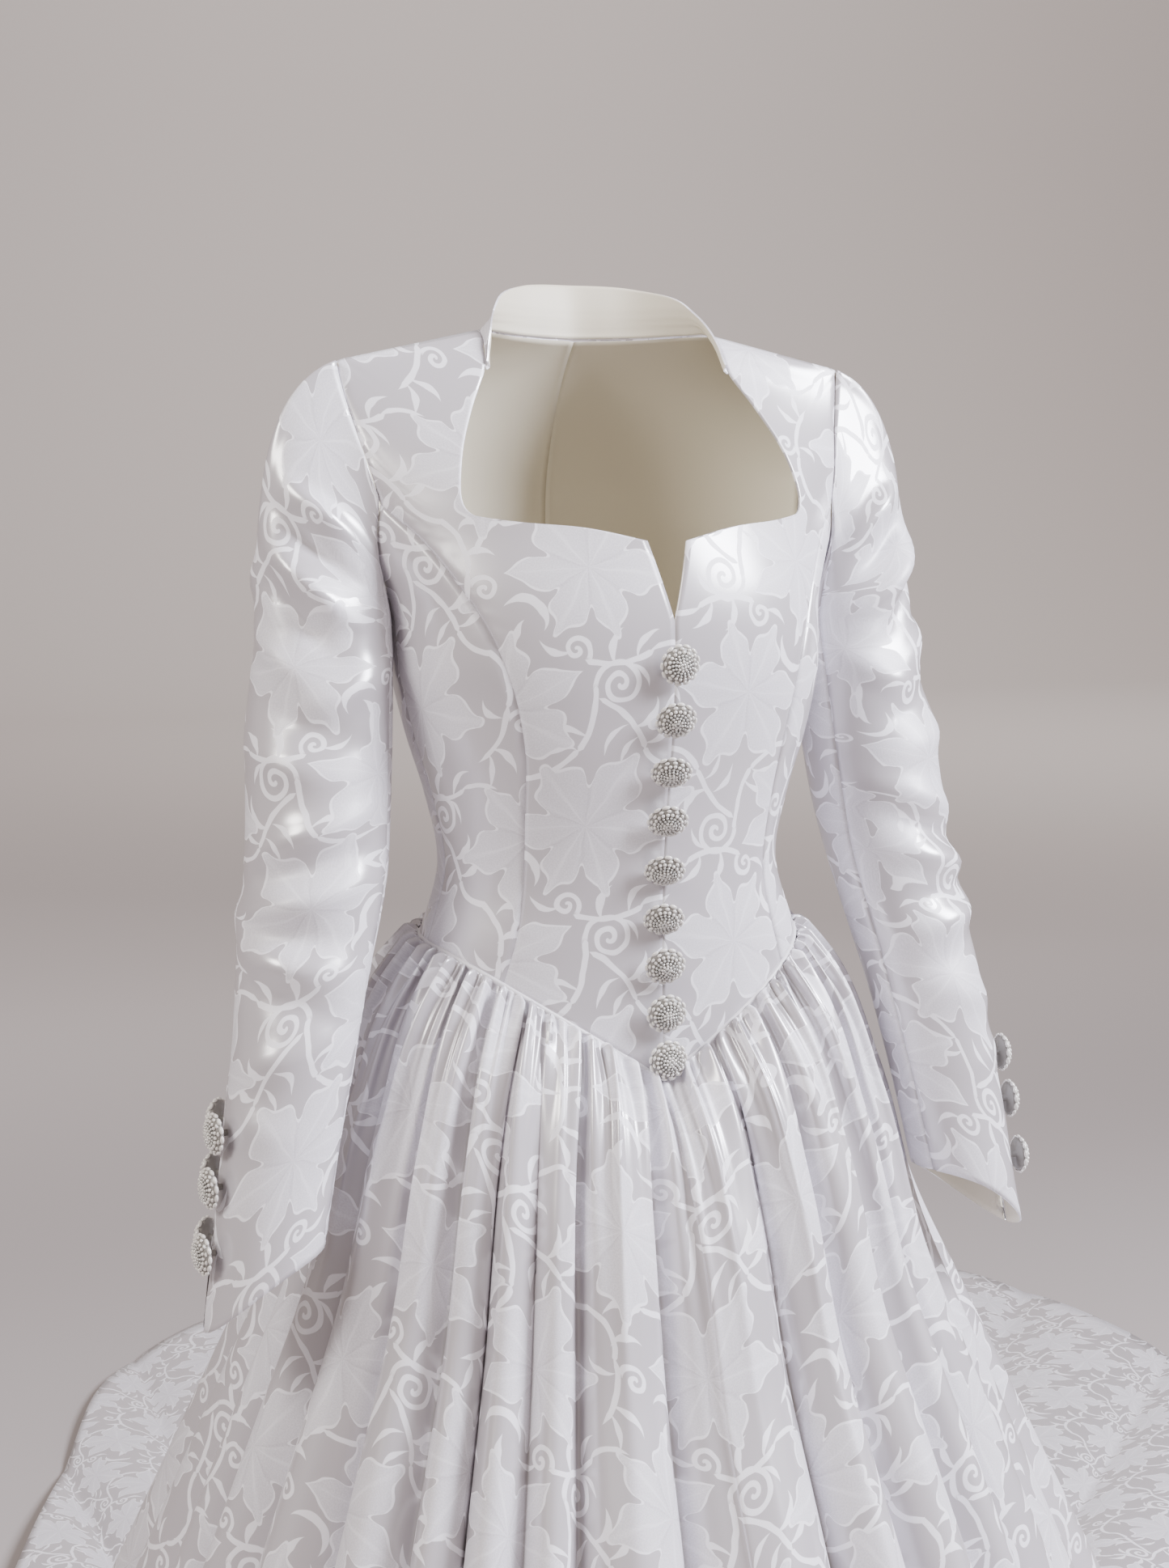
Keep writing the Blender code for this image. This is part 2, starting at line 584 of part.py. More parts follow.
def build_buttons(finish):
    """Buttons down the centre front, and on both edges of each cuff's slit."""
    heights = np.linspace(FRONT_BUTTON_TOP, FRONT_BUTTON_BOTTOM, FRONT_BUTTONS)
    for number, z in enumerate(heights, start=1):
        height = on_form(0.0, z)[1]
        place, normal = form(np.array(0.0), height), form_normal(np.array(0.0), height)
        button(f"button_front_{number}", place, normal, finish)
    for edge, turned in CUFF_BUTTON_ANGLES:
        for number, z in enumerate(CUFF_BUTTONS, start=1):
            place, normal = sleeve_point(np.array(math.radians(turned)), np.array(z))
            mirror = np.array([-1.0, 1.0, 1.0])
            button(f"button_cuff_left_{edge}_{number}", place, normal, finish)
            button(f"button_cuff_right_{edge}_{number}", place * mirror, normal * mirror, finish)


def main():
    for item in list(bpy.data.objects):
        bpy.data.objects.remove(item, do_unlink=True)
    satin = material("satin_damask", (0.74, 0.72, 0.74), 0.45)
    cord = material("satin_piping", (0.72, 0.70, 0.71), 0.45)
    pearl = material("pearl_beading", (0.66, 0.64, 0.62), 0.25)
    build_bodice(satin)
    build_collar(satin)
    build_sleeves(satin)
    build_piping(cord)
    build_skirt(satin)
    build_buttons(pearl)


main()
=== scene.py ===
"""The looks of a long-sleeved satin damask wedding dress, built round its CAD frame.

Metres, +Z up; the front faces -Y and +X is the wearer's left. Each cloth piece is a thin shell on the form of
the solid that it stands for. Its outer face is a fine grid of points, and its own UV map holds the flat cloth
in metres, so the woven pattern keeps its real scale.
"""

import math

import bpy
import numpy as np
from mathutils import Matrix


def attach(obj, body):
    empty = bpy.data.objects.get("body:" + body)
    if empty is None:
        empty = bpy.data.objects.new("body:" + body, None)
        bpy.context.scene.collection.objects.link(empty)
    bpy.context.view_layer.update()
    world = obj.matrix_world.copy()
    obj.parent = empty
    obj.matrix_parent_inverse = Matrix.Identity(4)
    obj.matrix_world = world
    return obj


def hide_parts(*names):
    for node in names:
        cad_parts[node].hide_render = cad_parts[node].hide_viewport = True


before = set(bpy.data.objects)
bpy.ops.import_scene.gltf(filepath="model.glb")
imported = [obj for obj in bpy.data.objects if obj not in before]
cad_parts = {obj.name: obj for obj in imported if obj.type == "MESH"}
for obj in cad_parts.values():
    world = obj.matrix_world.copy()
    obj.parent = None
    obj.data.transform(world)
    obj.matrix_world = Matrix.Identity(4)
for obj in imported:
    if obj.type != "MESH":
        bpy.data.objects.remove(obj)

bl_info = {
    "name": "Damask wedding dress",
    "version": (1, 0, 0),
    "blender": (4, 5, 0),
    "location": "View3D > Sidebar > Dress",
    "description": "Builds the cloth, beaded buttons and stage of a wedding dress",
    "category": "Object",
}

MIRROR = np.array([-1.0, 1.0, 1.0])

# Seams.
SEAM = 0.0003
PIPING_RADIUS = 0.0019

# Levels of the dress, from the tips of the shoulders.
FLOOR = -1.385
UNDERARM = -0.147
BASQUE_POINT = -0.459
WAIST_RISE = 0.65
WAIST_SIDE = -0.3735
WAIST_BACK = -0.368

# The bodice's form: height, half width, y of the middle, depth to the front, depth to the back, squareness.
FORM = (
    (-0.480, 0.1620, -0.0180, 0.0870, 0.1200, 2.1),
    (-0.420, 0.1430, -0.0180, 0.0850, 0.1080, 2.1),
    (-0.373, 0.1300, -0.0170, 0.0850, 0.0960, 2.1),
    (-0.326, 0.1165, -0.0140, 0.0890, 0.0860, 2.1),
    (-0.280, 0.1240, -0.0120, 0.0960, 0.0870, 2.2),
    (-0.240, 0.1355, -0.0100, 0.1050, 0.0920, 2.3),
    (-0.200, 0.1445, -0.0080, 0.1110, 0.0970, 2.3),
    (-0.150, 0.1500, -0.0040, 0.1130, 0.1000, 2.1),
    (-0.115, 0.1680, 0.0000, 0.1070, 0.0980, 1.7),
    (-0.090, 0.1760, 0.0020, 0.0970, 0.0940, 1.6),
    (-0.064, 0.1850, 0.0040, 0.0720, 0.0800, 1.6),
    (-0.045, 0.1880, 0.0050, 0.0500, 0.0660, 1.6),
    (-0.025, 0.1890, 0.0050, 0.0280, 0.0470, 1.6),
    (-0.012, 0.1860, 0.0050, 0.0165, 0.0300, 1.6),
    (-0.004, 0.1820, 0.0050, 0.0080, 0.0150, 1.6),
    (0.000, 0.1800, 0.0050, 0.0000, 0.0000, 1.6),
)
SHOULDER_HALF = 0.180
SHOULDER_SLOPE = 0.221
RIDGE = 0.004

# Seam lines of the bodice, as distance from the middle and height.
NOTCH_DEPTH = -0.163
NECKLINE = ((0.0135, -0.113), (0.050, -0.105), (0.088, -0.1015), (0.110, -0.099), (0.119, -0.087),
            (0.1135, -0.057), (0.1005, -0.028), (0.0874, -0.005), (0.0850, 0.009), (0.0830, 0.0214))
PRINCESS = ((0.1000, -0.395), (0.0900, -0.360), (0.0855, -0.326), (0.0870, -0.285), (0.0905, -0.245),
            (0.0990, -0.205), (0.1110, -0.170), (0.1250, -0.141), (0.1420, -0.113), (0.1615, -0.0905))
ARMHOLE_FRONT = ((0.1615, -0.0905), (0.1645, -0.077), (0.1675, -0.063), (0.1705, -0.049),
                 (0.1735, -0.035), (0.1762, -0.022), (0.1783, -0.010), (0.1799, 0.0))
ARMHOLE_BACK = ((0.1799, 0.0), (0.1760, -0.018), (0.1715, -0.038), (0.1675, -0.060),
                (0.1640, -0.083), (0.1610, -0.105), (0.1570, -0.126))
NECK_BACK = ((0.0830, 0.0214), (0.0700, 0.0212), (0.0450, 0.0195), (0.0240, 0.0188), (0.0, 0.0185))

# The standing collar: its top edge as distance from the middle, y and height.
COLLAR_TOP = ((0.0858, -0.0160, 0.0005), (0.0802, -0.0072, 0.0205), (0.0722, 0.0060, 0.0360),
              (0.0615, 0.0185, 0.0465), (0.0410, 0.0385, 0.0525), (0.0225, 0.0480, 0.0545),
              (0.0, 0.0540, 0.0550))
COLLAR_FRONT_POINTS = 3

# The arms: height, distance from the middle, y, radius of the sleeve.
ARM = (
    (-0.610, 0.2610, -0.0670, 0.0348),
    (-0.560, 0.2530, -0.0620, 0.0352),
    (-0.500, 0.2425, -0.0550, 0.0366),
    (-0.430, 0.2290, -0.0462, 0.0396),
    (-0.320, 0.2070, -0.0245, 0.0452),
    (-0.220, 0.1960, -0.0040, 0.0465),
    (-0.170, 0.1905, 0.0040, 0.0430),
)
SLEEVE_TOP = -0.170
SLEEVE_FRONT_SEAM = (145.0, 155.0)
SLEEVE_BACK_SEAM = (-70.0, -12.0)
SLIT_TOP = -0.455
SLIT_SPREAD = 0.0100
CUFF_TIP = -0.600
CUFF_INNER = -0.550
UNDER_CUFF_SHORT = 0.008
CAP_RISE = -0.35
CAP_BACK_STEPS = 3

# The skirt. HEM gives where the cloth from each angle of the waist meets the hem, in plan.
SKIRT_SPREAD = ((0.0, 0.0), (0.052, 0.027), (0.106, 0.046), (0.22, 0.074), (0.307, 0.104),
                (0.396, 0.135), (1.0, 0.345))
SKIRT_FULL = 0.345
TRAIN_STEEPNESS = 1.85
HEM = (
    (-180, 0.945, 2.228), (-168, 0.511, 2.227), (-160, 0.221, 2.111), (-154, 0.075, 1.967),
    (-145, -0.062, 1.645), (-136, -0.178, 1.347), (-126, -0.313, 1.002), (-111, -0.420, 0.470),
    (-98, -0.458, 0.180), (-80, -0.469, 0.005), (-60, -0.433, -0.204), (-40, -0.326, -0.358),
    (-20, -0.176, -0.456), (0, 0.0, -0.490), (20, 0.161, -0.462), (40, 0.302, -0.380),
    (60, 0.415, -0.255), (70, 0.470, -0.160), (80, 0.560, -0.030), (92, 0.720, 0.130),
    (106, 1.049, 0.424), (120, 1.325, 0.741), (132, 1.481, 1.109), (141, 1.545, 1.397),
    (148, 1.537, 1.586), (155, 1.505, 1.795), (166, 1.306, 2.053), (180, 0.945, 2.228),
)
FOLD_TROUGHS = (-180, -168, -156, -145, -133, -121, -110, -99, -87, -74, -60, -48, -40, -31, -23, -7,
                16, 28, 42, 55, 73, 88, 98, 108, 119, 129, 142, 154, 167, 180)
FOLD_DEPTH = ((0.0, 0.003), (0.03, 0.011), (0.07, 0.017), (0.20, 0.024), (0.40, 0.036), (1.0, 0.052),
              (1.4, 0.026), (3.0, 0.014))
FOLD_TYPICAL = 13.0
FOLD_ROUNDNESS = 0.7
FOLD_INWARD = 0.4
HEM_CLEAR = 0.002
GORES = (
    ("skirt_back_right", -180, -99),
    ("skirt_side_right", -99, -40),
    ("skirt_front", -40, 42),
    ("skirt_side_left", 42, 108),
    ("skirt_back_left", 108, 180),
)

# Buttons.
FRONT_BUTTONS = 9
FRONT_BUTTON_TOP = -0.1885
FRONT_BUTTON_BOTTOM = -0.444
CUFF_BUTTONS = (-0.476, -0.509, -0.549)
CUFF_BUTTON_ANGLES = (("front", 8.0), ("back", -42.0))

# How finely the cloth is drawn: points for each step of the CAD grid, and rows and columns of the skirt.
FINE = 6
UNDERARM_STEPS = 3
ACROSS_STEPS = 6
CAP_ROWS = 40
ARM_ROWS = 84
SKIRT_ROWS = 120
SKIRT_COLUMNS = 190
COLLAR_ROWS = 18

# The woven pattern, in millimetres: its repeat across and up the cloth.
COLUMN = 145.0
REPEAT = 165.0
# The lilies by place and turn, in degrees.
LILIES = ((0.0, 0.0, 0.0), (-56.0, 78.0, 205.0))
LILY_REACH = 60.0
# Edge of the lily by angle from straight left, in degrees, and its distance from the middle.
LILY_EDGE = (
    (0, 54), (4, 48), (9, 43), (16, 39), (22, 36), (28, 30), (32, 25), (37, 33), (44, 38), (51, 39), (57, 43),
    (60, 50), (64, 45), (70, 40), (77, 38), (84, 31), (88, 26), (93, 34), (99, 38), (105, 42), (109, 49),
    (114, 42), (120, 40), (127, 37), (134, 31), (139, 26), (145, 35), (152, 40), (159, 42), (166, 49),
    (171, 55), (176, 48), (182, 43), (189, 40), (196, 35), (202, 27), (208, 37), (216, 43), (224, 44),
    (231, 48), (236, 56), (241, 49), (248, 44), (256, 42), (263, 35), (269, 27), (275, 36), (283, 41),
    (291, 42), (299, 44), (306, 52), (311, 46), (318, 41), (326, 40), (333, 34), (338, 27), (344, 38),
    (350, 44), (356, 48), (360, 54),
)
# Shade of the lily's petals by the same angle: dark where petals meet, light along their middles.
LILY_SHADE = (
    (0, 1.0), (3, 0.45), (16, 0.35), (25, 0.55), (30, 0.0), (35, 0.25), (57, 0.45), (60, 1.0), (63, 0.45),
    (74, 0.35), (81, 0.55), (86, 0.0), (91, 0.25), (106, 0.45), (109, 1.0), (112, 0.45), (124, 0.35),
    (132, 0.55), (137, 0.0), (142, 0.25), (168, 0.45), (171, 1.0), (174, 0.45), (186, 0.35), (195, 0.55),
    (200, 0.0), (205, 0.25), (233, 0.45), (236, 1.0), (239, 0.45), (252, 0.35), (262, 0.55), (267, 0.0),
    (272, 0.25), (303, 0.45), (306, 1.0), (309, 0.45), (322, 0.35), (331, 0.55), (336, 0.0), (341, 0.25),
    (357, 0.45), (360, 1.0),
)
# Strokes of the vines: middle, radius, the way from the centre to the middle, half span, half width, blunt ends.
STROKES = (
    (-0.0, 69.8, 70.1, -12, 18, 1.8, 0.12),
    (-27.8, 36.3, 52.7, -69, 28, 1.8, 0.12),
    (23.1, 68.9, 60.3, 43, 23, 1.8, 0.15),
    (43.9, 39.4, 25.3, -124, 32, 1.8, 0.12),
    (-16.6, 64.9, 22.4, 80, 41, 2.3, 0.9),
    (-20.2, 52.0, 18.9, 100, 38, 2.1, 0.9),
    (12.2, 58.1, 19.7, 142, 38, 2.0, 0.9),
    (22.0, 49.0, 22.1, 150, 30, 1.8, 0.9),
    (38.6, 68.7, 13.6, -40, 59, 2.8, 0.9),
    (46.0, 57.0, 17.2, -50, 43, 2.4, 0.9),
    (16.9, 103.9, 48.2, -86, 28, 1.8, 0.12),
    (49.2, 115.1, 24.3, 94, 34, 1.7, 0.5),
    (11.4, 115.7, 17.1, 165, 44, 2.6, 0.9),
    (32.1, 118.1, 15.5, 142, 47, 2.4, 0.9),
    (32.6, 97.6, 15.6, 39, 38, 1.5, 0.8),
    (-35.8, -19.2, 14.5, 56, 84, 2.7, 0.6),
    (-48.8, -39.2, 20.3, 163, 31, 2.4, 0.9),
    (-63.3, 26.6, 21.0, 141, 40, 1.8, 0.3),
    (-69.0, 35.0, 13.6, 95, 51, 2.2, 0.9),
    (67.4, 20.9, 31.9, 21, 38, 1.8, 0.12),
    (64.1, -17.8, 44.1, -25, 29, 1.8, 0.3),
    (77.0, 16.0, 13.6, 95, 51, 2.4, 0.9),
    (55.9, -3.2, 13.2, -129, 47, 2.2, 0.9),
    (69.9, -30.7, 18.8, 48, 40, 2.5, 0.9),
    (60.0, -40.2, 23.5, 5, 29, 2.2, 0.9),
    (-25.7, -52.1, 15.2, -112, 45, 2.0, 0.9),
)
# Spirals: middle, turns, spacing of the turns, the angle at which they end, half width, mirrored.
SPIRALS = (
    (17.0, 91.0, 1.95, 8.2, 200, 1.75, 1.0),
    (-11.0, 114.0, 1.45, 6.4, 122, 1.6, -1.0),
    (78.0, -10.0, 1.45, 6.4, 0, 1.6, 1.0),
)

# Small creases and gathers.
GATHER_WIDTH = 2.6
GATHER_DEPTH = 0.0030
GATHER_FALL = 0.055
WAIST_CLEAR = 0.0006
SEAM_DIP = 0.0008
SEAM_REACH = 0.0022
PUCKER = 0.00035
NOTCH_ROWS = 6
COLLAR_HOLLOW = 0.002
PIPING_SUNK = 0.0006
# Creases of the sleeve: (degrees round the arm, millimetres down), tilt, length, width, share of the depth.
SLEEVE_FOLDS = (
    ((72, 96), 26, 36, 7, 1.7),
    ((66, 116), 28, 38, 7, -1.9),
    ((58, 138), 32, 40, 8, 1.9),
    ((50, 160), 34, 36, 8, -1.5),
    ((30, 184), 26, 38, 9, 1.2),
    ((100, 205), -20, 40, 10, 0.9),
    ((60, 226), 16, 44, 10, -1.0),
    ((40, 250), 12, 44, 10, 0.9),
    ((70, 292), -14, 46, 9, 1.1),
    ((60, 314), -12, 48, 8, -1.3),
    ((66, 334), -10, 50, 9, 1.4),
    ((52, 354), 4, 46, 8, -1.2),
    ((62, 374), 8, 46, 9, 1.2),
    ((78, 398), 12, 46, 10, -0.8),
    ((55, 430), -8, 44, 11, 0.8),
    ((40, 470), 10, 40, 11, 0.6),
    ((-20, 140), -22, 42, 11, 0.9),
    ((-30, 346), 8, 46, 10, 0.9),
)
# Where each piece's cloth lies in the weave, in metres.
WEAVE_FRONT = (0.053, -0.025)
LEFT_WEAVE = np.array([0.002, 0.083])
WEAVE_SIDE = (0.030, 0.060)
WEAVE_BACK = (0.010, 0.020)
SKIRT_WEAVE = ((0.02, 0.05), (0.07, 0.01), (0.012, 0.03), (0.05, 0.09), (0.03, 0.02))
# A button's base by (radius, rise), then its rings of beads: count, radius, rise, bead radius, length, finish.
BUTTON_DOME = ((0.0020, 0.0005), (0.0024, 0.0062), (0.0100, 0.0068), (0.0118, 0.0080), (0.0112, 0.0098),
               (0.0080, 0.0116), (0.0040, 0.0126), (0.0003, 0.0129))
BUTTON_RINGS = (
    (13, 0.0122, 0.0088, 0.00130, 2.1, 1),
    (13, 0.0106, 0.0106, 0.00105, 1.5, 1),
    (18, 0.0086, 0.0119, 0.00120, 1.0, 1),
    (17, 0.0066, 0.0128, 0.00095, 1.0, 2),
    (13, 0.0048, 0.0134, 0.00100, 1.0, 2),
    (8, 0.0030, 0.0138, 0.00105, 1.0, 1),
    (4, 0.0013, 0.0141, 0.00100, 1.3, 2),
)
BUTTON_SWING = (0.5, 0.0, 1.0)
# How far each front button's face hangs down, in degrees.
BUTTON_HANG = (6, 24, 34, 32, 36, 34, 22, 14, 4)
# The stage.
SWEEP_BEND = 4.0
SWEEP_FRONT = 16.0
SWEEP_BACK = 16.0
SWEEP_HIGH = 12.0
SWEEP_SIDE = 18.0
SKY = 0.56
CAMERA_AT = (-0.6539, -1.5149, -0.0760)
CAMERA_TURN = (83.0, 0.0, -23.0)


def curve_through(rows, at):
    """Reads a smooth curve through rows of (place, values...): cubic stretches with shared slopes."""
    rows = np.asarray(rows, float)
    place, values = rows[:, 0], rows[:, 1:]
    slopes = np.gradient(values, place, axis=0)
    at = np.clip(np.asarray(at, float), place[0], place[-1])
    low = np.clip(np.searchsorted(place, at, side="right") - 1, 0, len(place) - 2)
    step = (place[low + 1] - place[low])[..., None]
    t = (at - place[low])[..., None] / step
    return (
        values[low] * (1 + 2 * t) * (1 - t) ** 2
        + slopes[low] * step * t * (1 - t) ** 2
        + values[low + 1] * t**2 * (3 - 2 * t)
        + slopes[low + 1] * step * t**2 * (t - 1)
    )


def ease(value):
    """A soft step from 0 to 1."""
    value = np.clip(value, 0.0, 1.0)
    return value * value * (3 - 2 * value)


def unit(vectors):
    return vectors / np.linalg.norm(vectors, axis=-1, keepdims=True)


def shoulder_lift(x, height):
    """How far the sloping shoulders raise a point of the form towards the neck."""
    return SHOULDER_SLOPE * (SHOULDER_HALF - np.abs(x)) * ease(1 + height / -UNDERARM)


def form(angle, height):
    """The bodice's outside: a rounded section at each height, by angle from the front towards +X."""
    half, middle, front, back, power = np.moveaxis(curve_through(FORM, height), -1, 0)
    sine, cosine = np.sin(angle), np.cos(angle)
    reach = (np.abs(sine) ** power + np.abs(cosine) ** power) ** (-1 / power)
    x = half * sine * reach
    y = middle - np.where(cosine > 0, front, back) * cosine * reach
    return np.stack([x, y, height + shoulder_lift(x, height)], axis=-1)


def form_normal(angle, height):
    """The form's outward normal, turned to point up along the ridge of the shoulders."""
    step = 0.001
    below = np.minimum(height, -2 * step)
    around = form(angle + step, below) - form(angle - step, below)
    up = form(angle, below + step) - form(angle, below - step)
    normal = unit(np.cross(around, up))
    ridge = np.stack(
        [SHOULDER_SLOPE * np.sign(np.sin(angle)), 0 * angle, 1 + 0 * angle], axis=-1
    )
    share = ease(1 + height / RIDGE)[..., None]
    return unit(normal * (1 - share) + unit(ridge) * share)


def on_form(x, z, back=False):
    """The (angle, height) on the form of a point given by its distance from the middle and its height."""
    height = np.asarray(z, float)
    for _ in range(12):
        height = np.minimum(z - shoulder_lift(x, height), 0.0)
    half, _, _, _, power = np.moveaxis(curve_through(FORM, height), -1, 0)
    share = np.clip(x / half, 0.0, 1.0) ** power
    tangent = (share / np.maximum(1 - share, 1e-9)) ** (1 / power)
    angle = np.arctan(tangent)
    return np.stack([math.pi - angle if back else angle, height], axis=-1)


def waist(angle):
    """Height of the waist seam: a point at the front, nearly level round the back."""
    height = np.full_like(np.asarray(angle, float), WAIST_SIDE)
    for _ in range(12):
        x = np.abs(form(angle, height)[..., 0])
        height = BASQUE_POINT + WAIST_RISE * x
    behind = ease((np.abs(angle) - math.pi / 2) / (math.pi / 2))
    level = WAIST_SIDE + (WAIST_BACK - WAIST_SIDE) * behind
    return np.where(np.cos(angle) > 0, height, level)


def patch(left, right, bottom, top):
    """Fills four edges: rows run from left to right and are bent to meet the bottom and the top."""
    across = np.linspace(0, 1, len(bottom))[None, :, None]
    up = np.linspace(0, 1, len(left))[:, None, None]
    rows = left[:, None] * (1 - across) + right[:, None] * across
    low = bottom[None] - rows[:1]
    high = top[None] - rows[-1:]
    return rows + low * (1 - up) ** 3 + high * up**3


def draw_in(points, edges, half=SEAM / 2):
    """Moves the named edges of a grid in by half a seam. A grid's rows go up and its columns across."""
    points = points.copy()
    if "left" in edges:
        points[:, 0] += half * unit(points[:, 1] - points[:, 0])
    if "right" in edges:
        points[:, -1] += half * unit(points[:, -2] - points[:, -1])
    if "bottom" in edges:
        points[0] += half * unit(points[1] - points[0])
    if "top" in edges:
        points[-1] += half * unit(points[-2] - points[-1])
    return points


def armhole_ring():
    """The armhole's edge on the left side: its points, and the form's normals there."""
    back = [on_form(x, z, back=True) for x, z in ARMHOLE_BACK]
    front = [on_form(x, z) for x, z in ARMHOLE_FRONT[::-1]]
    low_front = np.linspace(front[-1], [math.pi / 2, UNDERARM], UNDERARM_STEPS + 1)
    places = np.concatenate([
        back[CAP_BACK_STEPS:0:-1],
        front,
        low_front[1:],
        back[:CAP_BACK_STEPS - 1:-1],
    ])
    return form(places[:, 0], places[:, 1])


def sleeve_angles(height, columns, seam):
    """Angle round the arm of each column: 0 is outwards and 90 is to the front, in radians."""
    down = ease((SLEEVE_TOP - height) / (SLEEVE_TOP - SLIT_TOP))
    back = SLEEVE_BACK_SEAM[0] + (SLEEVE_BACK_SEAM[1] - SLEEVE_BACK_SEAM[0]) * down
    front = SLEEVE_FRONT_SEAM[0] + (SLEEVE_FRONT_SEAM[1] - SLEEVE_FRONT_SEAM[0]) * down
    upper = np.arange(columns) / seam
    under = (np.arange(columns) - seam) / (columns - 1 - seam)
    turned = np.where(
        np.arange(columns) <= seam, back + (front - back) * upper, front + (360 + back - front) * under
    )
    return np.radians(turned)


def sleeve_point(angle, height):
    """A point of the sleeve below the cap, and its outward normal."""
    middle_x, middle_y, radius = np.moveaxis(curve_through(ARM, height), -1, 0)
    outward = np.stack([np.cos(angle), -np.sin(angle), 0 * angle], axis=-1)
    middle = np.stack([middle_x, middle_y, height], axis=-1)
    return middle + outward * radius[..., None], outward


def cuff_hem(angle):
    """Height of the cuff's edge: lowest at the slit, highest on the inside of the wrist."""
    away = (1 + np.cos(angle - math.radians(SLEEVE_BACK_SEAM[1]))) / 2
    return CUFF_INNER + (CUFF_TIP - CUFF_INNER) * away**1.5


def floor_blend(value, width):
    """Value where it is well above nought, nought where it is well below, and a soft bend between."""
    return (value + np.sqrt(value**2 + width**2)) / 2


def skirt_base(turn, down):
    """The skirt without its folds, by angle round the waist in degrees and share of the way to the hem."""
    angle = np.radians(turn)
    seam_height = waist(angle) - WAIST_CLEAR
    top = form(angle, seam_height)
    hem = curve_through(HEM, turn)
    run = hem - top[..., :2]
    distance = np.linalg.norm(run, axis=-1)
    outward = run / distance[..., None]
    fullness = distance / SKIRT_FULL
    steep = 1 / (fullness**-6 + TRAIN_STEEPNESS**-6) ** (1 / 6)
    drop = seam_height - (FLOOR + HEM_CLEAR)
    fall = np.hypot(drop, steep * SKIRT_FULL)
    length = fall + distance - steep * SKIRT_FULL
    travel = down * length / fall
    soft = 0.07 * ease((fullness - 1.2) / 0.6) + 1e-6
    spread = curve_through(SKIRT_SPREAD, travel)[..., 0]
    beyond = floor_blend(travel - 1, soft)
    plan = steep * spread + beyond * fall
    height = FLOOR + HEM_CLEAR + drop * floor_blend(1 - travel, soft)
    ground = top[..., :2] + outward * plan[..., None]
    return np.concatenate([ground, height[..., None]], axis=-1), travel


def base_normal(turn, down):
    """Outward normal of the skirt without its folds."""
    low = np.maximum(down - 0.004, 0.0)
    high = np.minimum(down + 0.004, 1.0)
    around = skirt_base(turn + 0.5, down)[0] - skirt_base(turn - 0.5, down)[0]
    slope = skirt_base(turn, low)[0] - skirt_base(turn, high)[0]
    return unit(np.cross(around, slope))


def fold_place(turn):
    """Which fold an angle is in, as its width and the share of the way across it."""
    troughs = np.array(FOLD_TROUGHS, float)
    index = np.clip(np.searchsorted(troughs, turn, side="right") - 1, 0, len(troughs) - 2)
    width = troughs[index + 1] - troughs[index]
    return width, (turn - troughs[index]) / width


def skirt(turn, down):
    """The skirt with its folds: rounded crests that stand out between narrow troughs, and fine gathers at
    the waist, a sine across the turn whose depth falls off as exp(-distance / GATHER_FALL)."""
    base, travel = skirt_base(turn, down)
    normal = base_normal(turn, down)
    width, share = fold_place(turn)
    crest = np.sin(math.pi * np.clip(share, 0, 1)) ** FOLD_ROUNDNESS
    depth = curve_through(FOLD_DEPTH, travel)[..., 0] * np.sqrt(width / FOLD_TYPICAL)
    inward = FOLD_INWARD * ease(1 - 4 * (travel - 0.9)) * ease(travel / 0.1)
    points = base + normal * (depth * (crest - inward))[..., None]
    return points, normal, travel


def gathers(turn, travel):
    """Height of the fine gathers over the folds."""
    phase = 2 * math.pi * turn / GATHER_WIDTH + 1.7 * np.sin(turn * 0.31) + 1.1 * np.sin(turn * 0.83 + 1)
    fall = np.exp(-travel / GATHER_FALL)
    longer = np.exp(-travel / (2.2 * GATHER_FALL)) * np.sin(phase / 2 + 0.8)
    return GATHER_DEPTH * (np.sin(phase) * fall + 1.3 * longer) * ease(travel / 0.008 + 0.35)


def drift(x, y, seed):
    """Slow uneven ripples between -1 and 1: a sum of three sines that run different ways."""
    return (
        np.sin(x + 1.7 * np.sin(0.6 * y + seed))
        + np.sin(0.62 * y + 1.3 * np.sin(0.8 * x + 2 * seed) + seed)
        + np.sin(0.45 * x - 0.9 * y + 3 * seed)
    ) / 3


def bump(x, y, centre, tilt, length, width):
    """A soft ridge: a bell across and along a line at the tilt, in degrees."""
    turned = math.radians(tilt)
    along = (x - centre[0]) * math.cos(turned) + (y - centre[1]) * math.sin(turned)
    across = (y - centre[1]) * math.cos(turned) - (x - centre[0]) * math.sin(turned)
    return np.exp(-((along / length) ** 2) - (across / width) ** 2)


def refine(points, corners=(), fine=FINE):
    """A smooth line through the points, with fine steps to each, and sharp where a corner is named."""
    points = np.asarray(points, float)
    marks = [0, *corners, len(points) - 1]
    parts = []
    for first, last in zip(marks[:-1], marks[1:]):
        knots = np.column_stack([np.arange(last - first + 1), points[first:last + 1]])
        at = np.linspace(0, last - first, fine * (last - first) + 1)
        parts.append(curve_through(knots, at) if last - first > 1 else
                     points[first] + (points[last] - points[first]) * at[:, None])
    return np.concatenate([parts[0], *(part[1:] for part in parts[1:])])


def steps_along(points, axis):
    """Distance from the first point along each line of a grid."""
    step = np.linalg.norm(np.diff(points, axis=axis), axis=-1)
    first = np.zeros_like(np.take(step, [0], axis=axis))
    return np.concatenate([first, np.cumsum(step, axis=axis)], axis=axis)


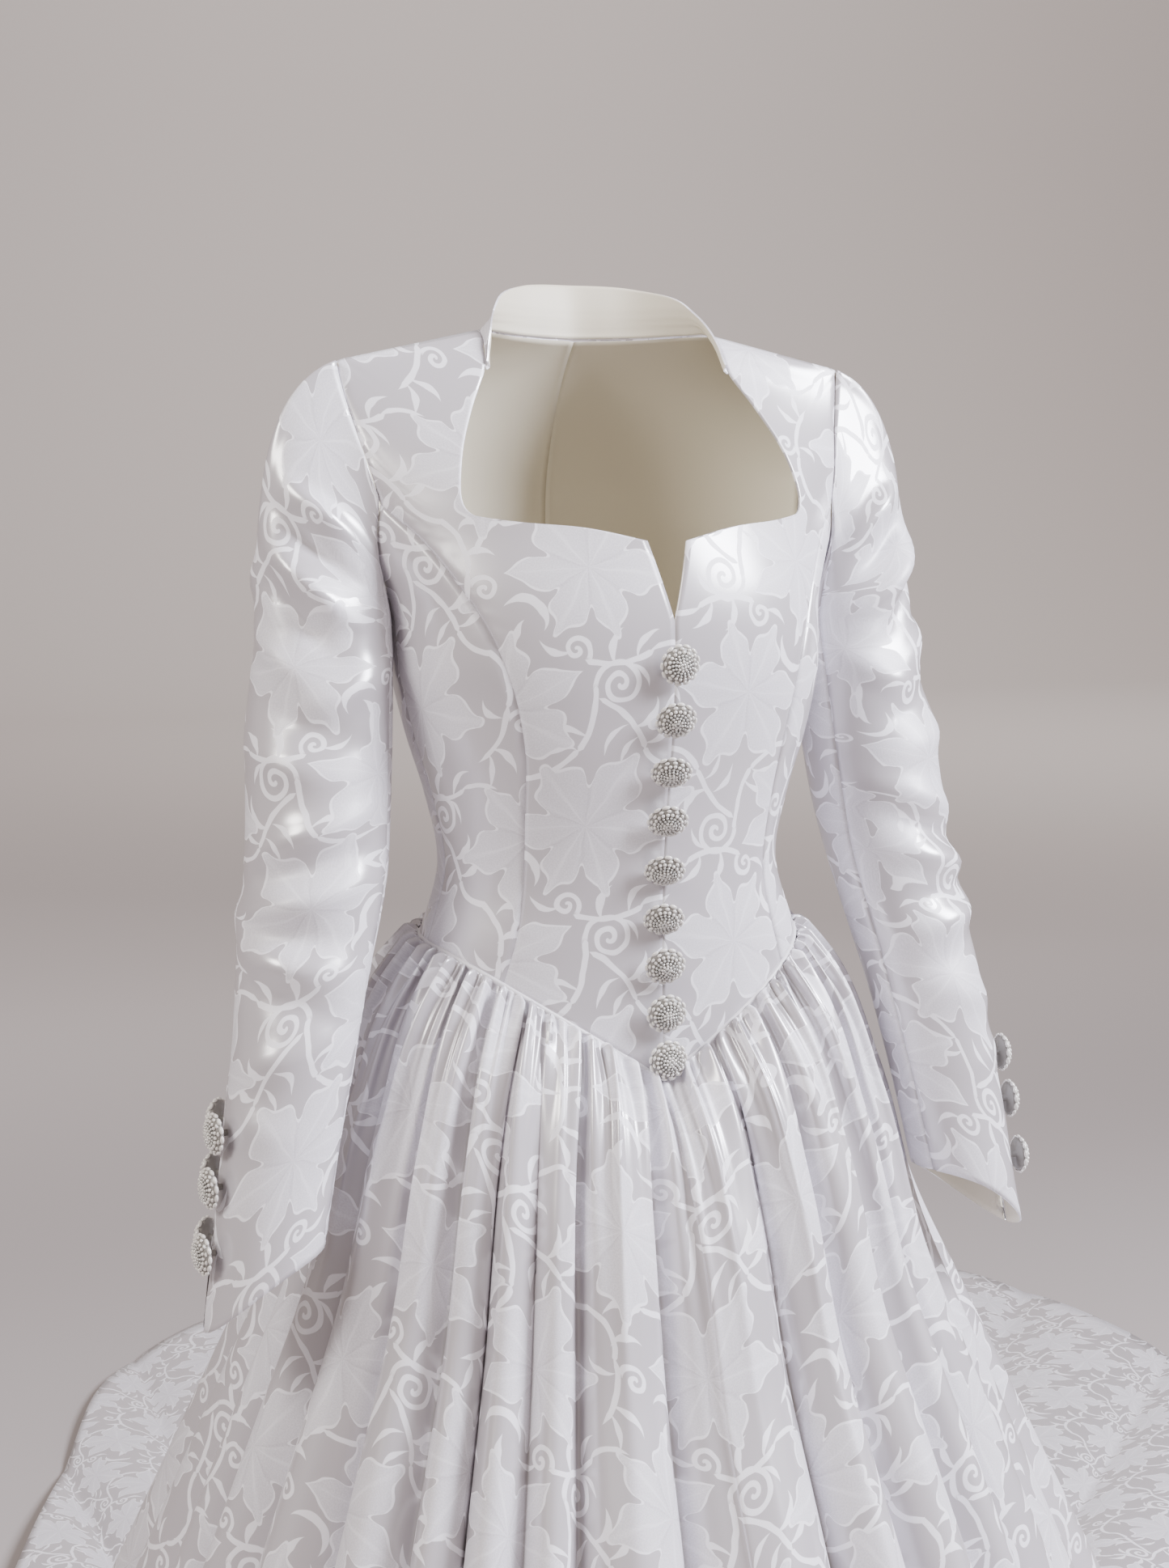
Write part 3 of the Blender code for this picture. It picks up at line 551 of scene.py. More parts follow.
def edge_distance(points, edges):
    """How far each point of a grid is from the nearest of the named edges."""
    across, up = steps_along(points, 1), steps_along(points, 0)
    distance = np.full(points.shape[:2], 1.0)
    if "left" in edges:
        distance = np.minimum(distance, across)
    if "right" in edges:
        distance = np.minimum(distance, across[:, -1:] - across)
    if "bottom" in edges:
        distance = np.minimum(distance, up)
    if "top" in edges:
        distance = np.minimum(distance, up[-1:] - up)
    return distance


def sewn(points, normals, edges):
    """Draws the cloth in where it is sewn, with small puckers beside the seam that fade within a thumb."""
    distance = edge_distance(points, edges)
    along = steps_along(points, 0) * 900 + 6 * np.sin(steps_along(points, 0) * 90)
    dip = -SEAM_DIP * np.exp(-((distance / SEAM_REACH) ** 2))
    dip += PUCKER * np.sin(along) * np.exp(-distance / 0.010) * ease(distance / 0.003)
    return points + normals * dip[..., None]


def flatten(points, column):
    """Lays a grid flat: rows keep their lengths and turn by how much faster they lengthen than the middle."""
    across, up = steps_along(points, 1), steps_along(points, 0)
    across = across - across[:, column:column + 1]
    middle = up[:, column]
    flare = np.arctan(np.gradient(across, np.maximum(middle, middle.max() * 1e-6 * np.arange(len(middle))), axis=0))
    step = np.diff(across, axis=1)
    lean = (flare[:, 1:] + flare[:, :-1]) / 2
    u, v = np.zeros(across.shape), np.zeros(across.shape)
    u[:, 1:] = np.cumsum(step * np.cos(lean), axis=1)
    v[:, 1:] = np.cumsum(step * np.sin(lean), axis=1)
    u -= u[:, column:column + 1]
    v = v[:, column:column + 1] - v + middle[:, None]
    return np.stack([u, v], axis=-1)


def fan(points, level):
    """Lays a gathered piece flat: columns stay straight and spread like a fan. The seam and the given row
    keep their true widths: place = seam + length down the column * direction(lean)."""
    down = steps_along(points, 0)

    def width(row):
        across = np.gradient(points[row], axis=0)
        along = unit(points[min(row + 1, len(points) - 1)] - points[max(row - 1, 0)])
        return np.linalg.norm(across - (across * along).sum(-1, keepdims=True) * along, axis=-1)

    seam, wide = width(0), width(level)
    lean = np.cumsum((wide - seam) / down[level])
    lean -= lean[len(lean) // 2]
    start = np.stack([np.cumsum(seam * np.cos(lean)), np.cumsum(seam * np.sin(lean))], -1)
    start -= start[len(lean) // 2]
    way = np.stack([np.sin(lean), -np.cos(lean)], -1)
    return start[None] + down[..., None] * way[None]


def body_cloth(places):
    """Flat cloth over the bodice's form: lengths round it from the front and up it from the waist seam."""
    angles = np.linspace(0, math.pi, 121)
    heights = np.linspace(-0.48, 0, 161)
    grid = form(*np.meshgrid(angles, heights))
    round_it, up_it = steps_along(grid, 1), steps_along(grid, 0)
    a = np.clip(places[..., 0] / math.pi * 120, 0, 119.999)
    h = np.clip((places[..., 1] + 0.48) / 0.48 * 160, 0, 159.999)
    i, j = h.astype(int), a.astype(int)
    fh, fa = h - i, a - j

    def read(table):
        low = table[i, j] * (1 - fa) + table[i, j + 1] * fa
        high = table[i + 1, j] * (1 - fa) + table[i + 1, j + 1] * fa
        return low * (1 - fh) + high * fh

    return np.stack([read(round_it), read(up_it)], axis=-1)


def shell(name, outer, normals, cloth, finish, thick, inside=None, floor=None, turned=False):
    """A thin closed shell: the outer grid, an inner one moved in along the normals, and a rim between."""
    inner = outer - normals * thick
    if floor is not None:
        inner[..., 2] = np.maximum(inner[..., 2], floor)
    rows, columns = outer.shape[:2]
    index = np.arange(rows * columns).reshape(rows, columns)
    a, b = index[:-1, :-1].ravel(), index[:-1, 1:].ravel()
    c, d = index[1:, 1:].ravel(), index[1:, :-1].ravel()
    out = np.stack([a, b, c, d], 1)
    rim = np.concatenate([index[0], index[1:, -1], index[-1, -2::-1], index[-2:0:-1, 0]])
    ahead = np.roll(rim, -1)
    count = rows * columns
    side = np.stack([rim, rim + count, ahead + count, ahead], 1)
    faces = np.concatenate([out, out[:, ::-1] + count, side])
    if turned:
        faces = faces[:, ::-1]
    vertices = np.concatenate([outer.reshape(-1, 3), inner.reshape(-1, 3)])
    mesh = bpy.data.meshes.new(name)
    mesh.from_pydata(vertices.tolist(), [], faces.tolist())
    flat = np.tile(cloth.reshape(-1, 2), (2, 1))[faces.ravel()]
    layer = mesh.uv_layers.new(name="Cloth")
    layer.uv.foreach_set("vector", flat.astype(np.float32).ravel())
    mesh.materials.append(finish)
    if inside is not None:
        mesh.materials.append(inside)
        slots = np.zeros(len(faces), np.int32)
        slots[len(out):2 * len(out)] = 1
        mesh.polygons.foreach_set("material_index", slots)
    sharp = np.zeros(len(faces), bool)
    sharp[:2 * len(out)] = True
    mesh.polygons.foreach_set("use_smooth", sharp)
    mesh.update()
    made = bpy.data.objects.new(name, mesh)
    bpy.context.scene.collection.objects.link(made)
    return made


def place_sheet(piece, node):
    """Rides the piece on the dress in place of its CAD node."""
    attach(piece, "root")
    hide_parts(node)


def pair(name, node, outer, normals, cloth, finish, thick, inside, shift):
    """A left piece, cut the other way up the cloth, and a right one mirrored across the middle."""
    made = shell(f"{name}_left_cloth", outer, normals, LEFT_WEAVE + shift * (1, -1) - cloth, finish, thick, inside)
    place_sheet(made, f"{node}_left")
    other = cloth * np.array([-1.0, 1.0]) + shift
    made = shell(
        f"{name}_right_cloth", outer * MIRROR, normals * MIRROR, other, finish, thick, inside, turned=True
    )
    place_sheet(made, f"{node}_right")


def joined(name, parts, finishes):
    """One mesh from (vertices, faces, finish number) parts."""
    vertices, faces, slots, start = [], [], [], 0
    for points, polygons, number in parts:
        vertices.append(points)
        faces += (polygons + start).tolist()
        slots.append(np.full(len(polygons), number))
        start += len(points)
    mesh = bpy.data.meshes.new(name)
    mesh.from_pydata(np.concatenate(vertices).tolist(), [], faces)
    for finish in finishes:
        mesh.materials.append(finish)
    mesh.polygons.foreach_set("material_index", np.concatenate(slots).astype(np.int32))
    mesh.shade_smooth()
    made = bpy.data.objects.new(name, mesh)
    bpy.context.scene.collection.objects.link(made)
    return made


def ring_faces(rows, columns, wrap_rows=False):
    """Faces of a grid whose columns close on themselves."""
    index = np.arange(rows * columns).reshape(rows, columns)
    ahead = np.roll(index, -1, axis=1)
    if wrap_rows:
        up, up_ahead = np.roll(index, -1, axis=0), np.roll(ahead, -1, axis=0)
        return np.stack([index, ahead, up_ahead, up], -1).reshape(-1, 4)
    return np.stack([index[:-1], ahead[:-1], ahead[1:], index[1:]], -1).reshape(-1, 4)


def ball(rows=6, columns=8):
    """A unit bead: rings of points between two small caps."""
    rise = np.linspace(-1.35, 1.35, rows)
    turn = np.arange(columns) * 2 * math.pi / columns
    x = np.cos(rise)[:, None] * np.cos(turn)
    y = np.cos(rise)[:, None] * np.sin(turn)
    points = np.stack([x, y, np.broadcast_to(np.sin(rise)[:, None], x.shape)], -1).reshape(-1, 3)
    points = np.concatenate([points, [[0, 0, -1], [0, 0, 1]]])
    faces = ring_faces(rows, columns)
    low, high = rows * columns, rows * columns + 1
    first, last = np.arange(columns), np.arange(columns) + (rows - 1) * columns
    caps = [np.stack([np.roll(first, -1), first, first * 0 + low, first * 0 + low], 1),
            np.stack([last, np.roll(last, -1), last * 0 + high, last * 0 + high], 1)]
    return points, faces, np.concatenate(caps)


def tube(path, radius, sides=8, closed=False):
    """A round cord along a path: rings of points across it, turned to follow it."""
    path = np.asarray(path, float)
    if closed:
        ahead = unit(np.roll(path, -1, axis=0) - np.roll(path, 1, axis=0))
    else:
        ahead = unit(np.gradient(path, axis=0))
    side = unit(np.cross(ahead, [0.02, 0.03, 1.0]))
    up = np.cross(side, ahead)
    turn = np.arange(sides) * 2 * math.pi / sides
    ring = np.cos(turn)[None, :, None] * side[:, None] + np.sin(turn)[None, :, None] * up[:, None]
    radius = np.broadcast_to(np.asarray(radius, float), (len(path),))
    points = path[:, None] + radius[:, None, None] * ring
    return points.reshape(-1, 3), ring_faces(len(path), sides, closed)


def linear(code):
    """Linear colour of an sRGB hex code."""
    parts = [int(code[i:i + 2], 16) / 255 for i in (1, 3, 5)]
    return tuple(p / 12.92 if p <= 0.04045 else ((p + 0.055) / 1.055) ** 2.4 for p in parts) + (1.0,)


def add_node(tree, kind, *sources, out=0, **settings):
    """Adds a node with its settings, and links or sets its inputs in order. Gives one output, or all."""
    made = tree.nodes.new(kind)
    for name, value in settings.items():
        setattr(made, name, value)
    for number, source in enumerate(sources):
        if isinstance(source, bpy.types.NodeSocket):
            tree.links.new(source, made.inputs[number])
        elif source is not None:
            made.inputs[number].default_value = source
    return made.outputs if out is None else made.outputs[out]


MATH, VECTOR, SPLIT = "ShaderNodeMath", "ShaderNodeVectorMath", "ShaderNodeSeparateXYZ"


def near_repeat(tree, place, x, y):
    """Where the place lies from the nearest repeat of (x, y), as sockets across and up."""
    moved = add_node(tree, VECTOR, place, (x, y, 0), operation="SUBTRACT")
    apart = add_node(tree, SPLIT, moved, out=None)
    across = add_node(tree, MATH, apart[0], COLUMN / 2, -COLUMN / 2, operation="WRAP")
    up = add_node(tree, MATH, apart[1], REPEAT / 2, -REPEAT / 2, operation="WRAP")
    return across, up


def polar(tree, place, x, y, centre, turned, mirrored=1.0):
    """Distance and angle about a centre near the repeat of (x, y), from a turned axis."""
    across, up = near_repeat(tree, place, x, y)
    flat = add_node(tree, "ShaderNodeCombineXYZ", across, up, 0.0)
    local = add_node(
        tree, "ShaderNodeMapping", flat, (*centre, 0), (0, 0, math.radians(turned)), (1, mirrored, 1),
        vector_type="TEXTURE",
    )
    distance = add_node(tree, VECTOR, local, operation="LENGTH", out=1)
    apart = add_node(tree, SPLIT, local, out=None)
    return distance, add_node(tree, MATH, apart[1], apart[0], operation="ARCTAN2")


def stroke(tree, place, row):
    """How far outside a curved stroke the place is: |distance - radius| less a width that runs out at the ends."""
    x, y, radius, middle, span, width, taper = row
    turned = math.radians(middle)
    centre = (-radius * math.cos(turned), -radius * math.sin(turned))
    distance, angle = polar(tree, place, x, y, centre, middle)
    size = add_node(tree, MATH, angle, operation="ABSOLUTE")
    half = math.radians(span)
    slope = width / (half * taper)
    left = add_node(tree, MATH, size, -slope, half * slope, operation="MULTIPLY_ADD")
    wide = add_node(tree, MATH, left, width, operation="MINIMUM")
    off = add_node(tree, MATH, distance, radius, operation="SUBTRACT")
    off = add_node(tree, MATH, off, operation="ABSOLUTE")
    return add_node(tree, MATH, off, wide, operation="SUBTRACT")


def spiral(tree, place, row):
    """How far outside a curl the place is. The curl's distance grows by its spacing with each turn."""
    x, y, turns, spacing, end, width, mirrored = row
    distance, angle = polar(tree, place, x, y, (0, 0), end, mirrored)
    wound = add_node(tree, MATH, angle, 1 / (2 * math.pi), operation="MULTIPLY")
    count = add_node(tree, MATH, distance, 1 / spacing, operation="MULTIPLY")
    apart = add_node(tree, MATH, count, wound, operation="SUBTRACT")
    whole = add_node(tree, MATH, apart, operation="ROUND")
    off = add_node(tree, MATH, apart, whole, operation="SUBTRACT")
    off = add_node(tree, MATH, off, operation="ABSOLUTE")
    out = add_node(tree, MATH, off, spacing, -width, operation="MULTIPLY_ADD")
    along = add_node(tree, MATH, whole, wound, operation="ADD")
    past = add_node(tree, MATH, along, spacing, -turns * spacing, operation="MULTIPLY_ADD")
    return add_node(tree, MATH, out, past, operation="MAXIMUM")


def read_chart(tree, turns, chart, most):
    """A smooth curve through a chart of (degrees, value), read by turns from 0 to 1."""
    made = tree.nodes.new("ShaderNodeFloatCurve")
    tree.links.new(turns, made.inputs[1])
    curve = made.mapping.curves[0]
    for number, (degrees, value) in enumerate(chart):
        place = (degrees / 360, value / most)
        if 0 < number < len(chart) - 1:
            curve.points.new(*place)
        else:
            curve.points[-1 if number else 0].location = place
    made.mapping.update()
    return made.outputs[0]


def damask_pattern():
    """The weave's drawing: how far outside the figure a place is, and the shade of the lily's petals."""
    tree = bpy.data.node_groups.new("Lily damask", "ShaderNodeTree")
    tree.interface.new_socket("Cloth", in_out="INPUT", socket_type="NodeSocketVector")
    for name in ("Outside", "Petals", "Shade"):
        tree.interface.new_socket(name, in_out="OUTPUT", socket_type="NodeSocketFloat")
    start = tree.nodes.new("NodeGroupInput").outputs[0]
    end = tree.nodes.new("NodeGroupOutput").inputs
    wave = add_node(tree, "ShaderNodeTexNoise", start, None, 0.06, 1.0, noise_dimensions="2D", out=1)
    wave = add_node(tree, VECTOR, wave, (0.5, 0.5, 0.5), operation="SUBTRACT")
    wave = add_node(tree, VECTOR, wave, (3.0, 3.0, 0.0), operation="MULTIPLY")
    place = add_node(tree, VECTOR, start, wave, operation="ADD")
    outside = None
    for row in STROKES:
        found = stroke(tree, place, row)
        outside = found if outside is None else add_node(tree, MATH, outside, found, operation="MINIMUM")
    for row in SPIRALS:
        outside = add_node(tree, MATH, outside, spiral(tree, place, row), operation="MINIMUM")
    petals, tone = None, None
    for x, y, turned in LILIES:
        distance, angle = polar(tree, place, x, y, (0, 0), turned)
        turns = add_node(tree, MATH, angle, 1 / (2 * math.pi), 0.5, operation="MULTIPLY_ADD")
        edge = read_chart(tree, turns, LILY_EDGE, LILY_REACH)
        found = add_node(tree, MATH, edge, -LILY_REACH, distance, operation="MULTIPLY_ADD")
        shade = read_chart(tree, turns, LILY_SHADE, 1.0)
        fade = add_node(tree, "ShaderNodeMapRange", distance, 6.0, 44.0, 1.0, 0.35)
        away = add_node(tree, MATH, shade, 0.45, operation="SUBTRACT")
        lit = add_node(tree, MATH, away, fade, 0.45, operation="MULTIPLY_ADD")
        if petals is None:
            petals, tone = found, lit
            continue
        nearer = add_node(tree, MATH, found, petals, operation="LESS_THAN")
        tone = add_node(tree, "ShaderNodeMix", nearer, None, tone, lit)
        petals = add_node(tree, MATH, petals, found, operation="MINIMUM")
    tree.links.new(add_node(tree, MATH, outside, petals, operation="MINIMUM"), end[0])
    tree.links.new(petals, end[1])
    tree.links.new(tone, end[2])
    return tree


def new_material(name):
    made = bpy.data.materials.new(name)
    made.use_nodes = True
    return made, made.node_tree, made.node_tree.nodes["Principled BSDF"]


def damask(pattern):
    """Silk satin damask: a glossy satin ground, and a matt figure of lilies and vines woven into it."""
    made, tree, shader = new_material("Silk_satin_damask_woven_white_on_white")
    cloth = add_node(tree, "ShaderNodeUVMap", uv_map="Cloth")
    place = add_node(tree, VECTOR, cloth, (1000, 1000, 0), operation="MULTIPLY")
    drawn = add_node(tree, "ShaderNodeGroup", out=None, node_tree=pattern)
    tree.links.new(place, tree.nodes["Group"].inputs[0])
    figure = add_node(tree, "ShaderNodeMapRange", drawn[0], 0.15, -0.15, 0.0, 1.0)
    petal = add_node(tree, "ShaderNodeMapRange", drawn[1], -1.7, -2.3, 0.0, 1.0)
    grain = add_node(tree, "ShaderNodeTexNoise", place, None, 0.9, 2.0, noise_dimensions="2D")
    speck = add_node(tree, "ShaderNodeMapRange", grain, 0.35, 0.68, 0.0, 0.35)
    lit = add_node(tree, MATH, drawn[2], speck, operation="ADD")
    lit = add_node(tree, "ShaderNodeMapRange", lit, 0.0, 1.0, 0.0, 1.0)
    inner = add_node(tree, "ShaderNodeMix", lit, None, None, None, None, None, linear("#C2BEC6"),
                     linear("#E5E3EA"), data_type="RGBA", out=2)
    figured = add_node(tree, "ShaderNodeMix", petal, None, None, None, None, None, linear("#F1EFF6"),
                       inner, data_type="RGBA", out=2)
    colour = add_node(tree, "ShaderNodeMix", figure, None, None, None, None, None, linear("#B9B4BA"),
                      figured, data_type="RGBA", out=2)
    rough = add_node(tree, "ShaderNodeMapRange", figure, 0.0, 1.0, 0.25, 0.52)
    tree.links.new(colour, shader.inputs["Base Color"])
    tree.links.new(rough, shader.inputs["Roughness"])
    gloss = add_node(tree, "ShaderNodeMapRange", figure, 0.0, 1.0, 1.0, 0.12)
    tree.links.new(gloss, shader.inputs["Coat Weight"])
    shader.inputs["Coat Roughness"].default_value = 0.30
    shader.inputs["Coat IOR"].default_value = 1.9
    shader.inputs["Specular IOR Level"].default_value = 1.0
    shader.inputs["Sheen Weight"].default_value = 0.12
    shader.inputs["Sheen Roughness"].default_value = 0.4
    return made


def plain(name, colour, roughness, specular=0.5, coat=0.0, metallic=0.0):
    made, _, shader = new_material(name)
    shader.inputs["Base Color"].default_value = linear(colour)
    shader.inputs["Roughness"].default_value = roughness
    shader.inputs["Specular IOR Level"].default_value = specular
    shader.inputs["Coat Weight"].default_value = coat
    shader.inputs["Metallic"].default_value = metallic
    return made


def paper():
    """Matt paper with painted shade: a darker tone painted on the floor round the dress as its shade, paler farther
    back.
    """
    made, tree, shader = new_material(PAPER)
    place = add_node(tree, "ShaderNodeTexCoord", out=3)
    apart = add_node(tree, SPLIT, place, out=None)
    # Painted shade: #ACA5A4 near the dress stands in for the floor's shade, #D3CDCC farther back.
    painted_shade_fade = add_node(tree, "ShaderNodeMapRange", apart[1], 2.4, 4.6, 0.0, 1.0, interpolation_type="SMOOTHSTEP")
    colour = add_node(tree, "ShaderNodeMix", painted_shade_fade, None, None, None, None, None, linear("#ACA5A4"),
                      linear("#D3CDCC"), data_type="RGBA", out=2)
    tree.links.new(colour, shader.inputs["Base Color"])
    shader.inputs["Roughness"].default_value = 0.9
    shader.inputs["Specular IOR Level"].default_value = 0.2
    return made


def finish(name):
    """A material made by the first operator that needs it."""
    found = bpy.data.materials.get(name)
    if found:
        return found
    if name == "Silk_satin_damask_woven_white_on_white":
        return damask(damask_pattern())
    if name == PAPER:
        return paper()
    return plain(name, *PLAIN[name])


DAMASK = "Silk_satin_damask_woven_white_on_white"
LINING = "Acetate_lining_woven_cream"
CORD = "Silk_satin_piping_white"
PEARL = "Glass_pearl_coated_white"
SEED = "Glass_seed_bead_silver_lined"
BASE = "Moulded_button_base_pearl_white"
PAPER = "Studio_paper_pale_grey_painted_floor_shade"
PLAIN = {
    LINING: ("#D9D2C0", 0.55, 0.4),
    CORD: ("#D8D5D9", 0.40, 0.5),
    PEARL: ("#DCD9D4", 0.16, 0.6, 0.6),
    SEED: ("#CBCAC6", 0.20, 0.6, 0.3, 0.35),
    BASE: ("#86837F", 0.35, 0.5),
}


class DressCloth(bpy.types.PropertyGroup):
    thick: bpy.props.FloatProperty(
        name="Cloth", description="Thickness of the shell drawn for the cloth", default=0.0012,
        min=0.0005, max=0.003, subtype="DISTANCE", unit="LENGTH",
    )
    crease: bpy.props.FloatProperty(
        name="Creases", description="Depth of the soft creases in the sleeves", default=0.0044,
        min=0.0, max=0.01, subtype="DISTANCE", unit="LENGTH",
    )


class DressStage(bpy.types.PropertyGroup):
    key: bpy.props.FloatProperty(
        name="Key", description="Power of the large soft light at the right", default=420.0,
        min=0.0, unit="POWER",
    )
    fill: bpy.props.FloatProperty(
        name="Fill", description="Power of the large soft light at the left", default=95.0,
        min=0.0, unit="POWER",
    )
    wall: bpy.props.FloatProperty(
        name="Wall", description="Power of the light on the paper behind", default=520.0,
        min=0.0, unit="POWER",
    )
    lens: bpy.props.FloatProperty(
        name="Lens", description="Focal length of the camera", default=56.66, min=20.0, max=120.0,
        subtype="DISTANCE_CAMERA",
    )


class DRESS_OT_bodice(bpy.types.Operator):
    """Builds the bodice: panels between lines on the form, each filled across from its left to its right edge"""

    bl_idname = "dress.bodice"
    bl_label = "Bodice"

    def execute(self, context):
        settings = context.scene.dress_cloth
        satin, lining = finish(DAMASK), finish(LINING)
        places = lambda points, back=False: np.array([on_form(x, z, back=back) for x, z in points])
        princess = places(refine(PRINCESS, fine=8))
        princess[0, 1] = waist(princess[0, 0]) + WAIST_CLEAR
        armhole = places(refine(ARMHOLE_FRONT, fine=FINE))
        side, underarm = math.pi / 2, np.array([math.pi / 2, UNDERARM])
        low, notch = BASQUE_POINT + WAIST_CLEAR, on_form(0.0, NOTCH_DEPTH)[1]
        right = np.concatenate([princess, armhole[1:]])
        neck = refine(NECKLINE, corners=(0,))
        neck = places(neck)
        down = len(right) - len(neck) - NOTCH_ROWS + 1
        centre = np.stack([np.zeros(down), np.linspace(low, notch, down)], axis=-1)
        cut = np.linspace(centre[-1], neck[0], NOTCH_ROWS + 1)[1:-1]
        left = np.concatenate([centre, cut, neck])
        left, right = left[:min(len(left), len(right))], right[:min(len(left), len(right))]
        columns = ACROSS_STEPS * FINE
        angle = np.linspace(0.0, right[0, 0], columns + 1)
        bottom = np.stack([angle, waist(angle) + WAIST_CLEAR], axis=-1)
        top = np.linspace(left[-1], right[-1], columns + 1)
        self.panel("front_centre", patch(left, right, bottom, top), ("right",), settings, satin, lining,
                   WEAVE_FRONT, shoulder=True)

        seam = np.linspace([side, WAIST_SIDE + WAIST_CLEAR], underarm, len(princess))
        steps = UNDERARM_STEPS * FINE
        top = np.linspace(princess[-1], underarm, steps + 1)
        angle = np.linspace(princess[0, 0], side, steps + 1)
        bottom = np.stack([angle, waist(angle) + WAIST_CLEAR], axis=-1)
        self.panel("front_side", patch(princess, seam, bottom, top), ("left", "right", "top"), settings,
                   satin, lining, WEAVE_SIDE)

        behind = places(refine(ARMHOLE_BACK), back=True)[::-1]
        left = np.concatenate([seam, behind])
        neck = places(refine(NECK_BACK), back=True)
        shoulder = np.linspace(left[-1], neck[0], 3 * FINE + 1)[:-1]
        top = np.concatenate([shoulder, neck])
        middle = np.linspace([math.pi, WAIST_BACK + WAIST_CLEAR], [math.pi, neck[-1, 1]], len(left))
        angle = np.linspace(side, math.pi, len(top))
        bottom = np.stack([angle, waist(angle) + WAIST_CLEAR], axis=-1)
        self.panel("back", patch(left, middle, bottom, top), ("left", "right"), settings, satin, lining,
                   WEAVE_BACK)
        return {"FINISHED"}

    def panel(self, name, grid, edges, settings, satin, lining, weave, shoulder=False):
        normals = form_normal(grid[..., 0], grid[..., 1])
        outer = draw_in(form(grid[..., 0], grid[..., 1]), ("left", "right"), half=0.0)
        outer = sewn(outer, normals, edges)
        cloth = body_cloth(grid)
        pair(name, name, outer, normals, cloth, satin, settings.thick, lining, np.array(weave))


class DRESS_OT_collar(bpy.types.Operator):
    """Builds the standing collar: straight lines from the neck edge up to its top edge"""

    bl_idname = "dress.collar"
    bl_label = "Collar"

    def execute(self, context):
        front = [form(*on_form(x, z)) for x, z in NECKLINE[-COLLAR_FRONT_POINTS:]]
        behind = [form(*on_form(x, z, back=True)) for x, z in NECK_BACK[1:]]
        low, high = np.array(front + behind), np.array(COLLAR_TOP)
        low = refine(np.concatenate([low, low[-2::-1] * MIRROR]), fine=8)
        high = refine(np.concatenate([high, high[-2::-1] * MIRROR]), fine=8)
        low = low + SEAM * unit(high - low)
        rise = np.linspace(0, 1, COLLAR_ROWS)[:, None, None]
        outer = low[None] * (1 - rise) + high[None] * rise
        normals = unit(np.cross(np.gradient(outer, axis=1), np.gradient(outer, axis=0)))
        outer = outer + normals * (-COLLAR_HOLLOW * np.sin(math.pi * rise))
        outer = sewn(outer, normals, ("bottom",))
        cloth = flatten(outer, outer.shape[1] // 2)
        made = shell("collar_cloth", outer, normals, cloth + np.array([0.02, 0.05]), finish(DAMASK),
                     context.scene.dress_cloth.thick, finish(LINING))
        place_sheet(made, "collar")
        return {"FINISHED"}


